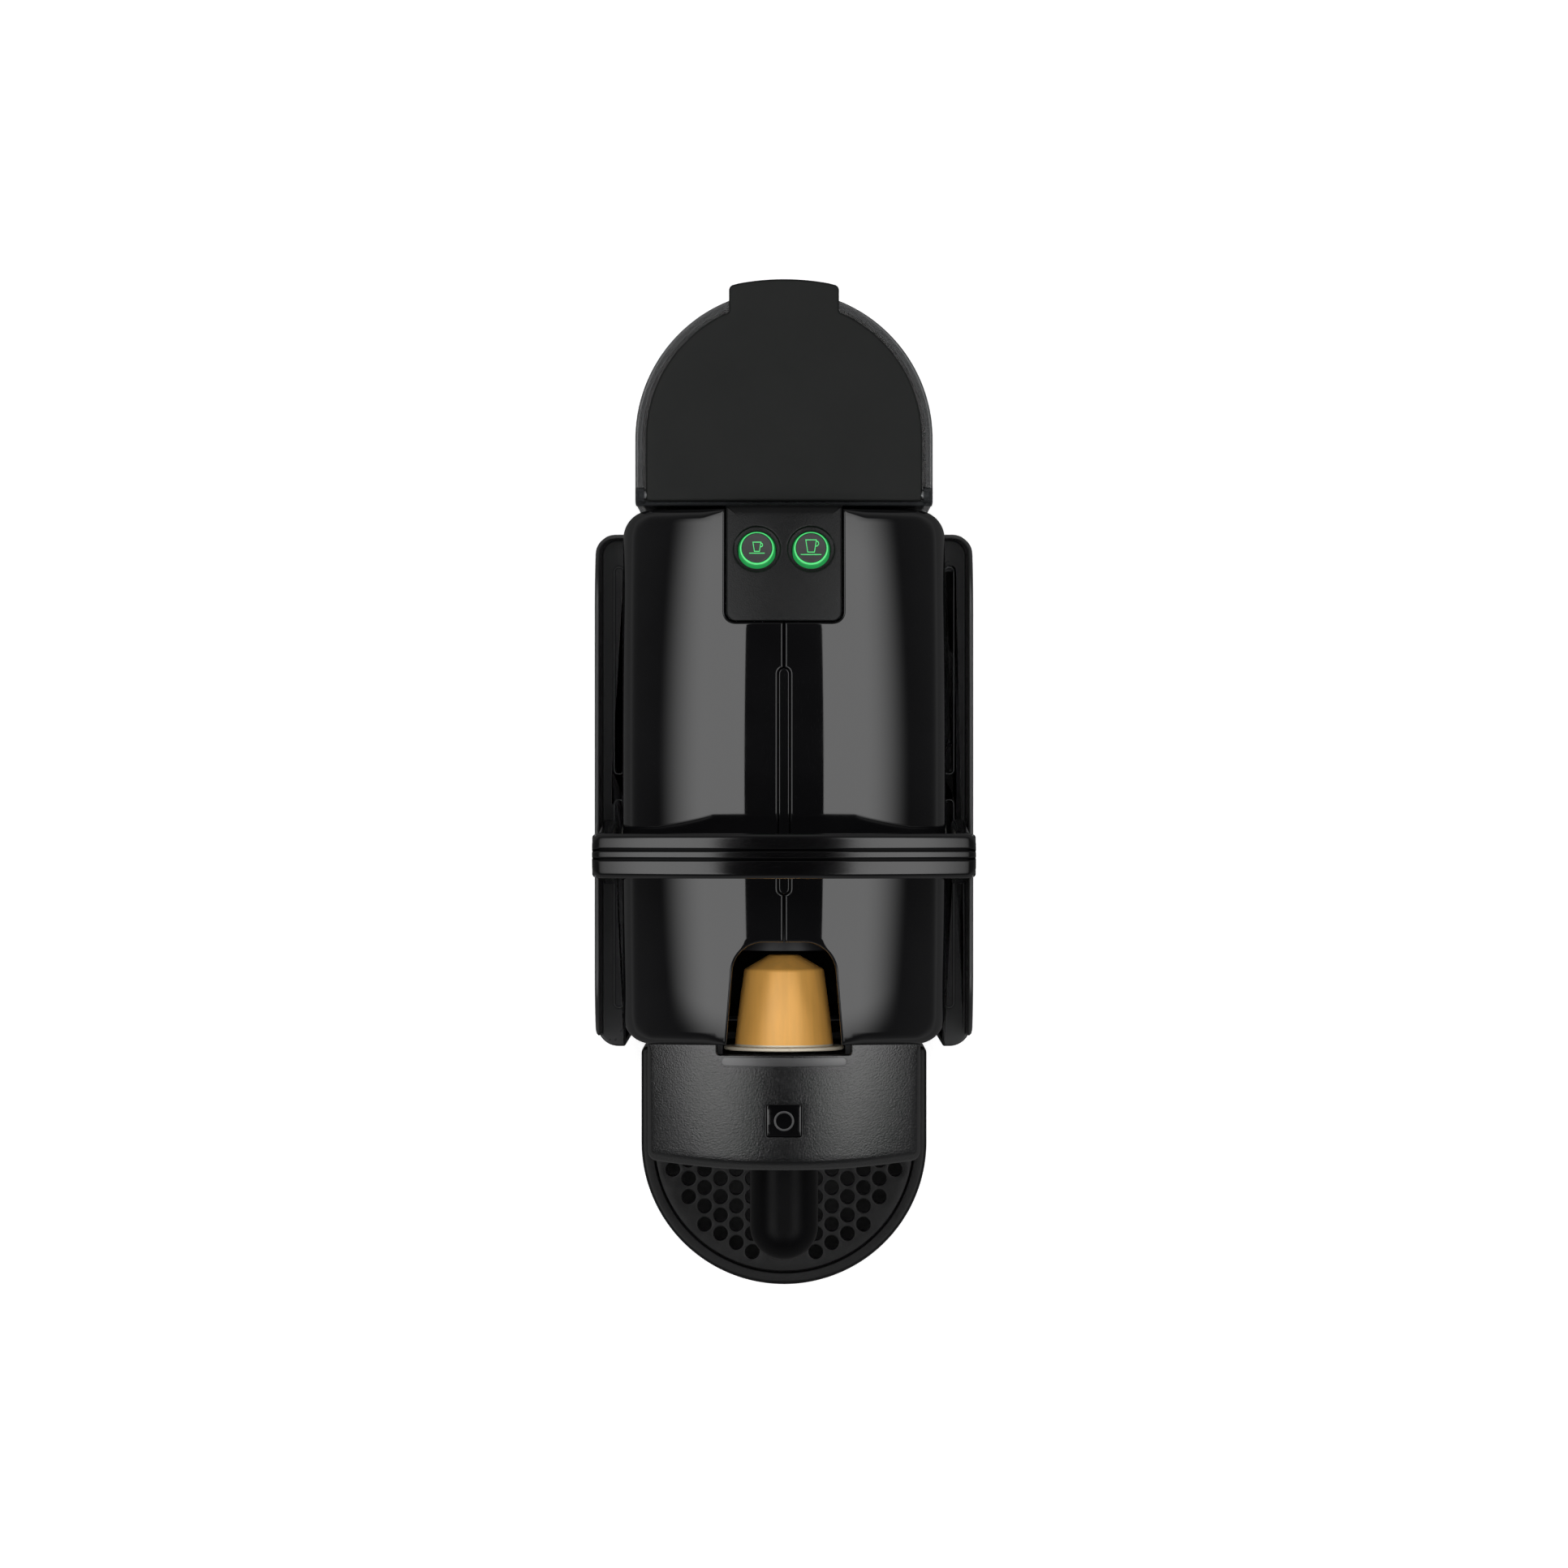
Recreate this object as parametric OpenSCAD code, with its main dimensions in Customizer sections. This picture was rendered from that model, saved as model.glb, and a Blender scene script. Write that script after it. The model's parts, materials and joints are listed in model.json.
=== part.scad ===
// Pod coffee machine: arched two-part housing, lever-driven brew chamber, lift-off
// water tank behind, fold-up drip tray and pull-out capsule container in front.
// Millimetres. +Z up, +Y to the rear, origin on the table under the middle of the machine.

/* [Housing] */
// Width of the glossy housing
housing_w = 98.4; // [94:0.2:125]
// Depth of the glossy housing, from its front face to its rear face
housing_d = 162.8; // [150:0.2:200]
// Height of the top of the arched housing above the table
housing_h = 230; // [222:1:280]
// Radius of the arch of the top, seen from the side
arch_r = 300; // [240:5:500]
// Radius of the crown of the top, seen from the front
crown_r = 95; // [85:1:160]
// Radius of the long shoulders between the crown and the sides
shoulder_r = 8; // [4:0.5:12]
// Radius of the housing's four upright corners
corner_r = 8.6; // [4:0.2:14]
// Wall of the moulded covers
wall = 2.2; // [1.6:0.1:3]
// Gap along the seam between the two housing halves
seam_gap = 0.4; // [0.2:0.1:1]
// Height of the front opening for the capsule container
drawer_h = 101; // [90:1:120]

/* [Base] */
// Height of the rubber feet
foot_h = 2.5; // [2:0.5:6]
// Radius of a rubber foot
foot_r = 7; // [5:0.5:10]
// Thickness of the base plate
base_t = 3.5; // [2.5:0.5:6]
// Height of the seat under the water tank
dock_h = 8; // [7:0.5:14]

/* [Cheeks] */
// Thickness of a side cheek, from the housing to its outer face
cheek_t = 8.8; // [8:0.2:14]
// Thickness of the cheek's outer skin
cheek_skin = 1.5; // [1.2:0.1:1.6]
// Height of the cheek's bottom edge above the table
cheek_z0 = 12; // [8:1:30]
// Height of the cheek's rim above the lever pivot
cheek_rise = 10; // [4:1:16]
// How far the cheek stands in front of the housing
cheek_front = 2.2; // [0:0.1:6]
// How far the cheek stops short of the housing's rear face
cheek_rear = 6.1; // [2:0.1:20]
// Radius of the cheek's corners, seen from the side
cheek_corner_r = 24; // [12:1:40]
// Radius of the cheek's upright edges, seen from above
cheek_edge_r = 6.5; // [3:0.5:7]

/* [Lever] */
// Distance of the lever pivot behind the housing's front face
pivot_in = 58.4; // [56:0.2:66]
// Distance of the lever pivot below the top of the arch
pivot_down = 40; // [38:1:46]
// Distance from the pivot to the middle of the grip band
lever_l = 109; // [108:1:130]
// Radius of the grip band's arch, seen from the front
grip_arch_r = 150; // [130:5:400]
// Thickness of a lever arm
arm_t = 4.4; // [3:0.1:5]
// Width of the grip band, front to back
grip_w = 13; // [10:0.5:18]
// Thickness of the grip band
grip_t = 8; // [5:0.5:9]
// Angle that the lever turns to close the brew chamber
lever_turn = 94; // [80:1:96]
// Radius of the lever's stub shafts
shaft_r = 5; // [4:0.25:6]
// Radius of the crank pins' circle
crank_r = 20; // [19:0.5:20.5]
// Radius of a crank pin
crank_pin_r = 3; // [2:0.25:3.5]

/* [Brew chamber] */
// Height of the chamber's axis below the top of the arch
chamber_down = 35; // [34:1:38]
// Radius of the capsule's rim
capsule_rim_r = 18.5; // [18:0.1:19]
// Radius of the capsule's body at its rim
capsule_r = 15.1; // [14:0.1:15.4]
// Length of the capsule without its rim
capsule_l = 28; // [26:0.2:28.4]
// Thickness of the capsule's rim
capsule_rim_t = 1.2; // [0.8:0.1:1.4]
// Wall of the moving cage
cage_wall = 3.3; // [2.5:0.1:4]

/* [Front cover and spout] */
// Width of the front cover
cover_w = 83.4; // [76:0.2:90]
// How far the front cover stands in front of the housing
cover_reach = 39; // [38:0.2:44]
// Drop from the top of the arch to the rear edge of the cover
cover_drop = 16.5; // [15:0.5:20]
// Radius of the cover's upper face, seen from the side
cover_r = 80; // [70:1:100]
// Radius of the cover's nose, seen from the side
nose_r = 16; // [12:0.5:18]
// Radius of the cover's front face, seen from above
bow_r = 300; // [200:10:600]
// Height of the cover's bottom edge above the table
cover_z0 = 158; // [150:1:164]
// Width of the coffee spout
spout_w = 21.4; // [18:0.2:26]
// How far the spout stands in front of the housing
spout_reach = 70.5; // [64:0.1:78]
// Height of the spout
spout_h = 16; // [12:1:20]

/* [Buttons] */
// Width of the button panel
panel_w = 35.2; // [34:0.2:44]
// Length of the button panel, up to the housing's rear face
panel_l = 34.6; // [30:0.2:44]
// Distance from a button's middle to the centre line
button_x = 8.2; // [7.8:0.1:9]
// Distance from the buttons to the housing's rear face
button_in = 12.3; // [11:0.1:16]
// Radius of the round well around a button
well_r = 7.1; // [6.4:0.1:7.4]
// Outer radius of the lit ring
ring_r = 5.6; // [4.8:0.1:5.8]
// Travel of a button
button_travel = 1.2; // [0.6:0.1:1.6]

/* [Water tank] */
// Width of the water tank
tank_w = 91; // [80:1:110]
// Depth of the tank, from its front wall to the back of its curve
tank_d = 66; // [60:0.2:90]
// Height of the tank's rim above the table
tank_top = 203; // [160:1:215]
// Wall of the tank
tank_wall = 2.2; // [1.8:0.1:3]
// How far the lid's thumb tab stands behind the tank
tab_reach = 3.1; // [2:0.1:8]
// Width of the lid's thumb tab
tab_w = 33.6; // [20:0.2:44]
// Thickness of the lid
lid_t = 3; // [2.4:0.1:4]

/* [Drip tray and container] */
// How far the drip tray stands in front of the housing
tray_reach = 87.1; // [80:0.1:110]
// Width of the drip tray
tray_w = 94.8; // [88:0.2:110]
// Height of the drip tray's rim above the table
tray_top = 46; // [36:1:60]
// Wall of the drip tray
tray_wall = 2; // [1.6:0.1:2.6]
// Width of the drip tray's flat rim
tray_rim = 4; // [3:0.2:6]
// Distance between holes in the drip grid
hole_pitch = 6.1; // [5.6:0.05:8]
// Radius of a hole in the drip grid
hole_r = 2.3; // [1.5:0.1:2.6]
// Height of the used-capsule container
bin_h = 89; // [60:1:90]
// Depth of the used-capsule container
bin_d = 63; // [50:1:66]

/* [Hidden] */
$fn = 64;
clear = 0.3;
hose_r = 2.4;
bend_r = 2.8;
slack = 1;
run_fit = 0.05;
far = 400;

// Front-to-back places, with the whole machine centred on the origin
tank_gap = 1.6;
total_d = tray_reach + housing_d + tank_gap + tank_d + tab_reach;
front = -total_d / 2 + tray_reach;
rear = front + housing_d;
mid_y = (front + rear) / 2;
tank_front = rear + tank_gap;
tank_arc_y = tank_front + tank_d - tank_w / 2;
tray_arc_y = front - tray_reach + tray_w / 2;
tray_back = front - 8;

// Heights
base_top = foot_h + base_t;
dock_top = base_top + dock_h;
line_z = base_top + 4;
pivot_y = front + pivot_in;
pivot_z = housing_h - pivot_down;
chamber_z = housing_h - chamber_down;
side_x = housing_w / 2;
inner_x = side_x - wall;

// Lever, cranks and the cage that they drive
arm_x = side_x + 2.4;
crank_x = side_x - 11.2;
crank_t = 4;
fork_x = side_x - 18.2;
fork_t = 4;
crank_a = lever_turn / 2;
pin_y = pivot_y + crank_r * sin(crank_a);
pin_z = pivot_z + crank_r * cos(crank_a);
cage_travel = 2 * crank_r * sin(crank_a);
rim_back = front - 1;
rim_front = rim_back - capsule_rim_t;
capsule_end = rim_back + capsule_l;
cage_bore = capsule_r + 0.9;
cage_r = cage_bore + cage_wall;
cage_lip = rim_back + cage_travel + 0.5;
cage_depth = capsule_l + 2;
cage_end = cage_lip + cage_depth + 3.5;
fork_half = crank_pin_r + 0.95;
bush_r = shaft_r + 3;
channel_z = pivot_z - 17;

// Front cover's side profile: a broad arc that runs into a tighter nose arc
cover_top = housing_h - cover_drop;
cover_y0 = front + 13.2;
cover_z = cover_top - sqrt(cover_r * cover_r - 13.2 * 13.2);
nose_y = front - cover_reach + nose_r;
nose_z = cover_z + sqrt(pow(cover_r - nose_r, 2) - pow(nose_y - cover_y0, 2));

// Buttons stand square to the arched top
button_y = rear - button_in;
button_tilt = asin((button_y - mid_y) / arch_r);
panel_front = rear - panel_l;

// Tray hinge and carrier
hinge_y = front - 4.3;
hinge_z = tray_top - 2;
hinge_pin_r = 1.25;
bin_w = housing_w - 2 * wall - 7;
bin_z0 = base_top + 3.6;
bin_y0 = front + wall + 0.6;
carrier_w = bin_w + 1;

// ---------- shared shapes ----------

// Height of the arched top on the centre line
function arch_top(y) = housing_h - arch_r + sqrt(arch_r * arch_r - pow(y - mid_y, 2));
// Drop of the crown away from the centre line
function crown_drop(x) = crown_r - sqrt(crown_r * crown_r - x * x);

module box(x0, x1, y0, y1, z0, z1) {
  translate([x0, y0, z0]) cube([x1 - x0, y1 - y0, z1 - z0]);
}

module both_sides() {
  children();
  mirror([1, 0, 0]) children();
}

// Cylinder along X from x0 to x1
module rod_x(r, x0, x1, y, z) {
  translate([x0, y, z]) rotate([0, 90, 0]) cylinder(r = r, h = x1 - x0);
}

// Cylinder along Y from y0 to y1
module rod_y(r, y0, y1, x, z) {
  translate([x, y1, z]) rotate([90, 0, 0]) cylinder(r = r, h = y1 - y0);
}

module rounded_rect(x0, x1, y0, y1, r) {
  translate([x0 + r, y0]) square([x1 - x0 - 2 * r, y1 - y0]);
  translate([x0, y0 + r]) square([x1 - x0, y1 - y0 - 2 * r]);
  for (x = [x0 + r, x1 - r], y = [y0 + r, y1 - r]) translate([x, y]) circle(r = r);
}

// Extrudes a YZ outline along X from x0 to x1
module along_x(x0, x1) {
  translate([x0, 0, 0]) rotate([90, 0, 90]) linear_extrude(height = x1 - x0) children();
}

// Half-round outline, straight at one end: dir is 1 when the curve is at the rear
module d_outline(half_w, y_flat, y_arc, dir) {
  intersection() {
    translate([0, y_arc]) circle(r = half_w, $fn = 128);
    translate([-half_w, dir > 0 ? y_arc : y_arc - half_w]) square([2 * half_w, half_w]);
  }
  translate([-half_w, min(y_flat, y_arc)]) square([2 * half_w, abs(y_flat - y_arc)]);
}

// Arched and crowned block of the housing, shrunk by inset
module housing_block(inset, z0) {
  r = crown_r - inset;
  s = shoulder_r - inset;
  w = side_x - inset;
  // the shoulder stands a hair proud, so that its arc crosses the crown's
  side_off = sqrt(pow(r - s + 0.04, 2) - pow(w - s, 2));
  cut = (w - s) * r / (r - s);
  intersection() {
    translate([0, mid_y, housing_h - arch_r]) rotate([0, 90, 0]) rotate_extrude($fn = 256)
      translate([arch_r - crown_r, 0]) {
        intersection() {
          circle(r = r, $fn = 128);
          translate([0, -cut]) square([crown_r, 2 * cut]);
        }
        for (side = [-1, 1]) translate([side_off, side * (w - s)]) circle(r = s);
        translate([crown_r - arch_r, -w]) square([arch_r - crown_r + side_off, 2 * w]);
      }
    // the upright corners cut the sides at a slight angle
    translate([0, 0, z0]) linear_extrude(height = housing_h)
      rounded_rect(-w - 0.1, w + 0.1, front + inset, rear - inset, corner_r - inset);
  }
}

// Outline of the capsule slot seen from above, grown by grow
module slot_outline(grow) {
  arch_y = capsule_end + 4.5 + grow;
  r = 9.6 + grow;
  top_x = capsule_r - 9;
  wide = capsule_r + 2.8 + grow;
  for (side = [-1, 1]) translate([side * top_x, arch_y - r]) circle(r = r);
  polygon([
    [-top_x, arch_y], [top_x, arch_y], [top_x + r, arch_y - r], [wide, front - 5],
    [-wide, front - 5], [-top_x - r, arch_y - r]
  ]);
}

// ---------- base ----------

module base_outline(inset) {
  rounded_rect(-side_x + inset, side_x - inset, front + inset, rear - inset, corner_r - inset);
  d_outline(tank_w / 2 - 1 - inset, rear - corner_r, tank_arc_y, 1);
}

screw_y0 = front + 81;
screw_y1 = rear - 9;
screw_x = inner_x - 7;
gland_y = tank_front + 9;
gland_z = base_top + 4;

module base_plate() {
  color("#151616") difference() {
    translate([0, 0, foot_h]) linear_extrude(height = base_t) base_outline(0);
    both_sides() for (y = [screw_y0, screw_y1]) translate([screw_x, y, 0]) {
      translate([0, 0, foot_h - slack]) cylinder(r = 1.6, h = base_t + 2 * slack);
      translate([0, 0, foot_h - slack]) cylinder(r = 3.2, h = 1.5 + slack);
    }
    // relief for the drip carrier's runners
    for (side = [-1, 1]) translate([0, 0, base_top - 0.8])
      box(side * 24 - 2, side * 24 + 2, front - slack, front + 70, 0, slack + 0.8);
  }
}

module rubber_feet() {
  color("#242424") both_sides() for (p = [[side_x - 13, front + 13], [side_x - 19, rear + 34]])
    translate([p.x, p.y, 0]) {
      cylinder(r = foot_r, h = foot_h);
    }
}

module base_screws() {
  color("silver") both_sides() for (y = [screw_y0, screw_y1]) translate([screw_x, y, foot_h]) {
    difference() {
      cylinder(r = 3, h = 1.5);
      translate([0, 0, -slack]) cylinder(r = 1.2, h = slack + 0.8, $fn = 6);
    }
    cylinder(r = 1.5, h = 13);
  }
}

// ---------- housing ----------

seam_slot_front = front + 47.7;
seam_slot_rear = panel_front - 15.6;
seam_slot_w = 3.7;

module seam_outline(grow) {
  r = seam_slot_w / 2 + grow;
  for (y = [seam_slot_front, seam_slot_rear]) translate([0, y]) circle(r = r);
  translate([-r, seam_slot_front]) square([2 * r, seam_slot_rear - seam_slot_front]);
}

// Right half of the housing
module half_shell() {
  difference() {
    union() {
      difference() {
        housing_block(0, base_top);
        housing_block(wall, base_top - slack);
      }
      // posts that the base screws bite into
      for (y = [screw_y0, screw_y1]) difference() {
        translate([screw_x, y, base_top]) cylinder(r = 4, h = 26);
        translate([screw_x, y, base_top - slack]) cylinder(r = 1.5, h = 14 + slack);
      }
      for (y = [screw_y0, screw_y1])
        box(screw_x + 3, inner_x + wall / 2, y - 1, y + 1, base_top, base_top + 26);
    }
    box(-far, seam_gap / 2, -far, far, 0, far);
    translate([0, 0, chamber_z]) linear_extrude(height = 60) slot_outline(0);
    // way through the front wall for the capsule and its rim
    box(-slack, capsule_rim_r + 2.1, front - slack, front + wall + slack, cover_z0 - 8, cover_top - 0.5);
    // opening for the capsule container
    box(-slack, carrier_w / 2 + 1.4, front - slack, front + wall + slack, 0, drawer_h);
    translate([0, 0, housing_h - 20]) linear_extrude(height = 40) seam_outline(0);
    // recess for the button panel
    translate([0, 0, arch_top(rear) - 12]) linear_extrude(height = 40)
      translate([-far, panel_front]) square([far + panel_w / 2 + clear, far]);
    rod_x(bush_r, inner_x - slack, side_x + slack, pivot_y, pivot_z);
    // hole for the tank's water line
    rod_y(3.5, rear - wall - slack, rear + slack, 0, line_z);
  }
}

module right_shell() {
  color("#0d0d0e") half_shell();
}

module left_shell() {
  color("#0d0d0e") mirror([1, 0, 0]) half_shell();
}

// Strip that fills the pill-shaped slot in the seam
module seam_insert() {
  color("#0b0b0c") intersection() {
    difference() {
      housing_block(0.35, base_top);
      housing_block(wall, base_top - slack);
    }
    translate([0, 0, housing_h - 20]) linear_extrude(height = 40) seam_outline(-0.2);
  }
}

// ---------- cheeks ----------

cheek_y0 = front - cheek_front;
cheek_y1 = rear - cheek_rear;
cheek_x = side_x + cheek_t;
cheek_top = pivot_z + cheek_rise;

module cheek_side(inset) {
  rounded_rect(cheek_y0 + inset, cheek_y1 - inset, cheek_z0 + inset, cheek_top - inset,
               cheek_corner_r - inset);
}

module half_cheek() {
  ledge_t = 2;
  difference() {
    intersection() {
      along_x(side_x, cheek_x) cheek_side(0);
      linear_extrude(height = far) rounded_rect(0, cheek_x, cheek_y0, cheek_y1, cheek_edge_r);
    }
    // hollow behind the skin, below the lever channel
    intersection() {
      along_x(side_x - slack, cheek_x - cheek_skin) cheek_side(cheek_skin);
      linear_extrude(height = channel_z - ledge_t)
        rounded_rect(0, cheek_x - cheek_skin, cheek_y0 + cheek_skin, cheek_y1 - cheek_skin,
                     cheek_edge_r - cheek_skin);
    }
    // lever channel, open at the top
    translate([0, 0, channel_z]) linear_extrude(height = far)
      rounded_rect(0, cheek_x - cheek_skin, cheek_y0 + cheek_skin, cheek_y1 - cheek_skin,
                   cheek_edge_r - cheek_skin);
    // way out at the front for the lowered arm
    box(side_x - slack, cheek_x - cheek_skin, cheek_y0 - slack, cheek_y0 + cheek_edge_r, channel_z, far);
    box(side_x - slack, far, cheek_y0 - slack, cheek_y0 + cheek_edge_r - 2.5, channel_z, far);
    // shallow pill-shaped recesses in the channel's floor
    for (span = [[cheek_y0 + 12, pivot_y + 16], [pivot_y + 24, cheek_y1 - 10]])
      translate([0, 0, channel_z - 0.7]) linear_extrude(height = slack + 0.7)
        rounded_rect(side_x + 0.6, side_x + 3.6, span[0], span[1], 1.4);
  }
}

module right_cheek() {
  color("#101011") half_cheek();
}

module left_cheek() {
  color("#101011") mirror([1, 0, 0]) half_cheek();
}

// ---------- front cover, badge and spout ----------

module cover_side(inset) {
  reach = far / norm([nose_y - cover_y0, nose_z - cover_z]);
  intersection() {
    translate([cover_y0, cover_z]) circle(r = cover_r - inset, $fn = 128);
    polygon([
      [cover_y0, cover_z],
      [cover_y0 + reach * (nose_y - cover_y0), cover_z + reach * (nose_z - cover_z)],
      [cover_y0, far]
    ]);
  }
  translate([nose_y, nose_z]) circle(r = nose_r - inset);
  translate([nose_y - nose_r + inset, 0]) square([cover_y0 - nose_y + nose_r - inset, nose_z]);
}

module cover_plan(inset) {
  half_w = cover_w / 2 - inset;
  intersection() {
    rounded_rect(-half_w, half_w, front - cover_reach - 10, front + 10, 4);
    translate([0, front - cover_reach + bow_r]) circle(r = bow_r - inset, $fn = 256);
  }
}

module cover_block(inset, y1, z0) {
  intersection() {
    along_x(-side_x, side_x) cover_side(inset);
    translate([0, 0, z0]) linear_extrude(height = far) cover_plan(inset);
    box(-far, far, -far, y1, z0, far);
  }
}

spout_y = front - spout_reach + spout_w / 2;
flange_t = 1.6;
badge_w = 10.6;
badge_y = front - 23.7;

// Square frame for the badge, with its Z axis square to the cover
module on_cover(y) {
  tilt = asin((cover_y0 - y) / cover_r);
  translate([0, y, cover_z + cover_r * cos(tilt)]) rotate([tilt, 0, 0]) children();
}

module front_cover() {
  color("#2a2b2d") difference() {
    cover_block(0, front, cover_z0);
    cover_block(wall, front + slack, cover_z0 - slack);
    // slot for the capsule's rim
    box(-capsule_rim_r - 2.1, capsule_rim_r + 2.1, front - 3.3, front + slack, chamber_z, far);
    on_cover(badge_y) translate([-badge_w / 2 - 0.1, -badge_w / 2 - 0.1, -0.8])
      cube([badge_w + 0.2, badge_w + 0.2, 5]);
  }
}

module badge() {
  color("#0c0c0d") on_cover(badge_y) {
    difference() {
      translate([-badge_w / 2, -badge_w / 2, -0.8]) cube([badge_w, badge_w, 0.7]);
      translate([0, 0, -0.3]) difference() {
        cylinder(r = 3.2, h = 1);
        translate([0, 0, -slack]) cylinder(r = 2.5, h = 3);
      }
    }
  }
}

// Nose that the coffee runs out of, hollow from below, on a plate that closes the cover's underside
module spout() {
  r = spout_w / 2;
  z0 = cover_z0 - spout_h;
  color("#131314") difference() {
    union() {
      translate([0, spout_y, z0]) cylinder(r = r, h = spout_h);
      box(-r, r, spout_y, front - 16, z0, cover_z0);
      translate([0, 0, cover_z0]) linear_extrude(height = flange_t) intersection() {
        cover_plan(wall + 0.2);
        translate([-far, -far]) square([2 * far, far + front - 4]);
      }
      // neck between the nose and the plate
      box(-r, r, front - cover_reach + 4, front - 16, cover_z0 - slack, cover_z0 + slack / 2);
    }
    translate([0, spout_y, z0 - slack]) cylinder(r = r - wall, h = spout_h + slack - wall);
    box(-r + wall, r - wall, spout_y, front - 16 - wall, z0 - slack, cover_z0 - wall);
    // inlet under the collector
    translate([0, front - 26, cover_z0 - wall - slack]) cylinder(r = 3, h = wall + flange_t + 2 * slack);
  }
}

// Funnel that catches the coffee behind the brew head
module coffee_collector() {
  y0 = front - 34;
  y1 = front - 8.2;
  z0 = cover_z0 + flange_t;
  z1 = chamber_z - 20;
  color("#3a3a3a") difference() {
    box(-17, 17, y0, y1, z0, z1);
    box(-15.4, 15.4, y0 + 1.6, y1 + slack, z0 + 3, z1 + slack);
    translate([0, front - 26, z0 - slack]) cylinder(r = 3, h = 6);
  }
}

// ---------- buttons ----------

module on_top(x, y) {
  translate([x, y, arch_top(y) - crown_drop(x)]) rotate([-button_tilt, 0, 0]) children();
}

module button_panel() {
  reach = 1.2;
  color("#222324") difference() {
    intersection() {
      difference() {
        // the panel's own block reaches past the housing's rear face
        translate([0, reach, 0]) housing_block(0, base_top);
        translate([0, reach, 0]) housing_block(wall, base_top - slack);
      }
      translate([0, 0, arch_top(rear) - 11.7]) linear_extrude(height = 60)
        rounded_rect(-panel_w / 2, panel_w / 2, panel_front + clear, rear + 20, 3);
    }
    for (side = [-1, 1]) on_top(side * button_x, button_y) {
      translate([0, 0, -0.9]) cylinder(r = well_r, h = 10);
      translate([0, 0, -10]) cylinder(r = ring_r + clear, h = 20);
    }
  }
}

module button_cap(side) {
  on_top(side * button_x, button_y) {
    translate([0, 0, -4.6]) cylinder(r = ring_r - 0.85, h = 4.2);
    translate([0, 0, -8.6]) cylinder(r = 2, h = 4.2);
  }
}

module button_ring(side) {
  on_top(side * button_x, button_y) difference() {
    translate([0, 0, -4.6]) cylinder(r = ring_r, h = 4.4);
    translate([0, 0, -4.6 - slack]) cylinder(r = ring_r - 0.85, h = 4.4 + 2 * slack);
  }
}

module espresso_button() {
  color("#161718") button_cap(-1);
}

module lungo_button() {
  color("#161718") button_cap(1);
}

module espresso_ring() {
  color("#35d06a") button_ring(-1);
}

module lungo_ring() {
  color("#35d06a") button_ring(1);
}

// Circuit board with one switch under each button, held on two posts under the panel
module control_board() {
  color("#1f5d3a") {
    on_top(0, button_y) translate([-19, -11, -15]) cube([38, 18, 1.6]);
    for (side = [-1, 1]) on_top(side * button_x, button_y)
      translate([-3, -3, -13.6]) cube([6, 6, 4.9 - button_travel]);
    for (side = [-1, 1]) on_top(0, button_y) translate([side * 15.5 - 1.2, -9, -13.5]) cube([2.4, 8, 9.4]);
  }
}

// ---------- lever and its cranks ----------

grip_top = pivot_z + lever_l + grip_t / 2;
grip_arch_z = grip_top - grip_arch_r;
arm_end = grip_arch_z + sqrt(pow(grip_arch_r, 2) - pow(arm_x + arm_t, 2)) - 1.5;

module arm_outline() {
  translate([pivot_y, pivot_z]) circle(r = 10);
  polygon([
    [pivot_y - 9.9, pivot_z + 1], [pivot_y + 9.9, pivot_z + 1],
    [pivot_y + grip_w / 2, pivot_z + 44], [pivot_y + grip_w / 2, arm_end],
    [pivot_y - grip_w / 2, arm_end], [pivot_y - grip_w / 2, pivot_z + 44]
  ]);
}

module lever() {
  end_x = arm_x + arm_t;
  color("#0f0f10") {
    difference() {
      both_sides() along_x(arm_x, end_x) arm_outline();
      both_sides() rod_x(shaft_r, arm_x - slack, arm_x + 3, pivot_y, pivot_z);
    }
    // the grip band is arched across the machine
    translate([0, pivot_y, grip_arch_z]) rotate([90, 0, 0]) difference() {
      translate([0, 0, -grip_w / 2]) linear_extrude(height = grip_w) intersection() {
        difference() {
          circle(r = grip_arch_r, $fn = 256);
          circle(r = grip_arch_r - grip_t, $fn = 256);
        }
        translate([-end_x, 0]) square([2 * end_x, far]);
      }
      // two grooves leave three ridges along the band
      for (side = [-1, 1]) translate([0, 0, side * 1.8]) rotate_extrude($fn = 256)
        translate([grip_arch_r, 0]) circle(r = 0.6);
    }
  }
}

module pivot_bushes() {
  color("#d8d4c8") both_sides() difference() {
    union() {
      rod_x(bush_r, inner_x - 0.5, side_x + 0.6, pivot_y, pivot_z);
      rod_x(bush_r + 2, inner_x - 2, inner_x - 0.5, pivot_y, pivot_z);
    }
    rod_x(shaft_r + run_fit, inner_x - 3, side_x + 2, pivot_y, pivot_z);
  }
}

// Stub shafts, crank arms and the pins that push the cage's yoke
module drive_cranks() {
  color("#8a8c8e") both_sides() {
    rod_x(shaft_r, crank_x, arm_x + 3, pivot_y, pivot_z);
    along_x(crank_x, crank_x + crank_t) {
      translate([pivot_y, pivot_z]) circle(r = 8);
      translate([pin_y, pin_z]) circle(r = 5);
      translate([pivot_y, pivot_z]) rotate(90 - crank_a) translate([0, -4.5]) square([crank_r, 9]);
    }
    rod_x(crank_pin_r, fork_x - fork_t, crank_x + 1, pin_y, pin_z);
  }
}

// ---------- brew chamber ----------

frame_y0 = front + wall + 0.8;
frame_y1 = cage_end + 42;
rail_z1 = chamber_z - 11;

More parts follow.
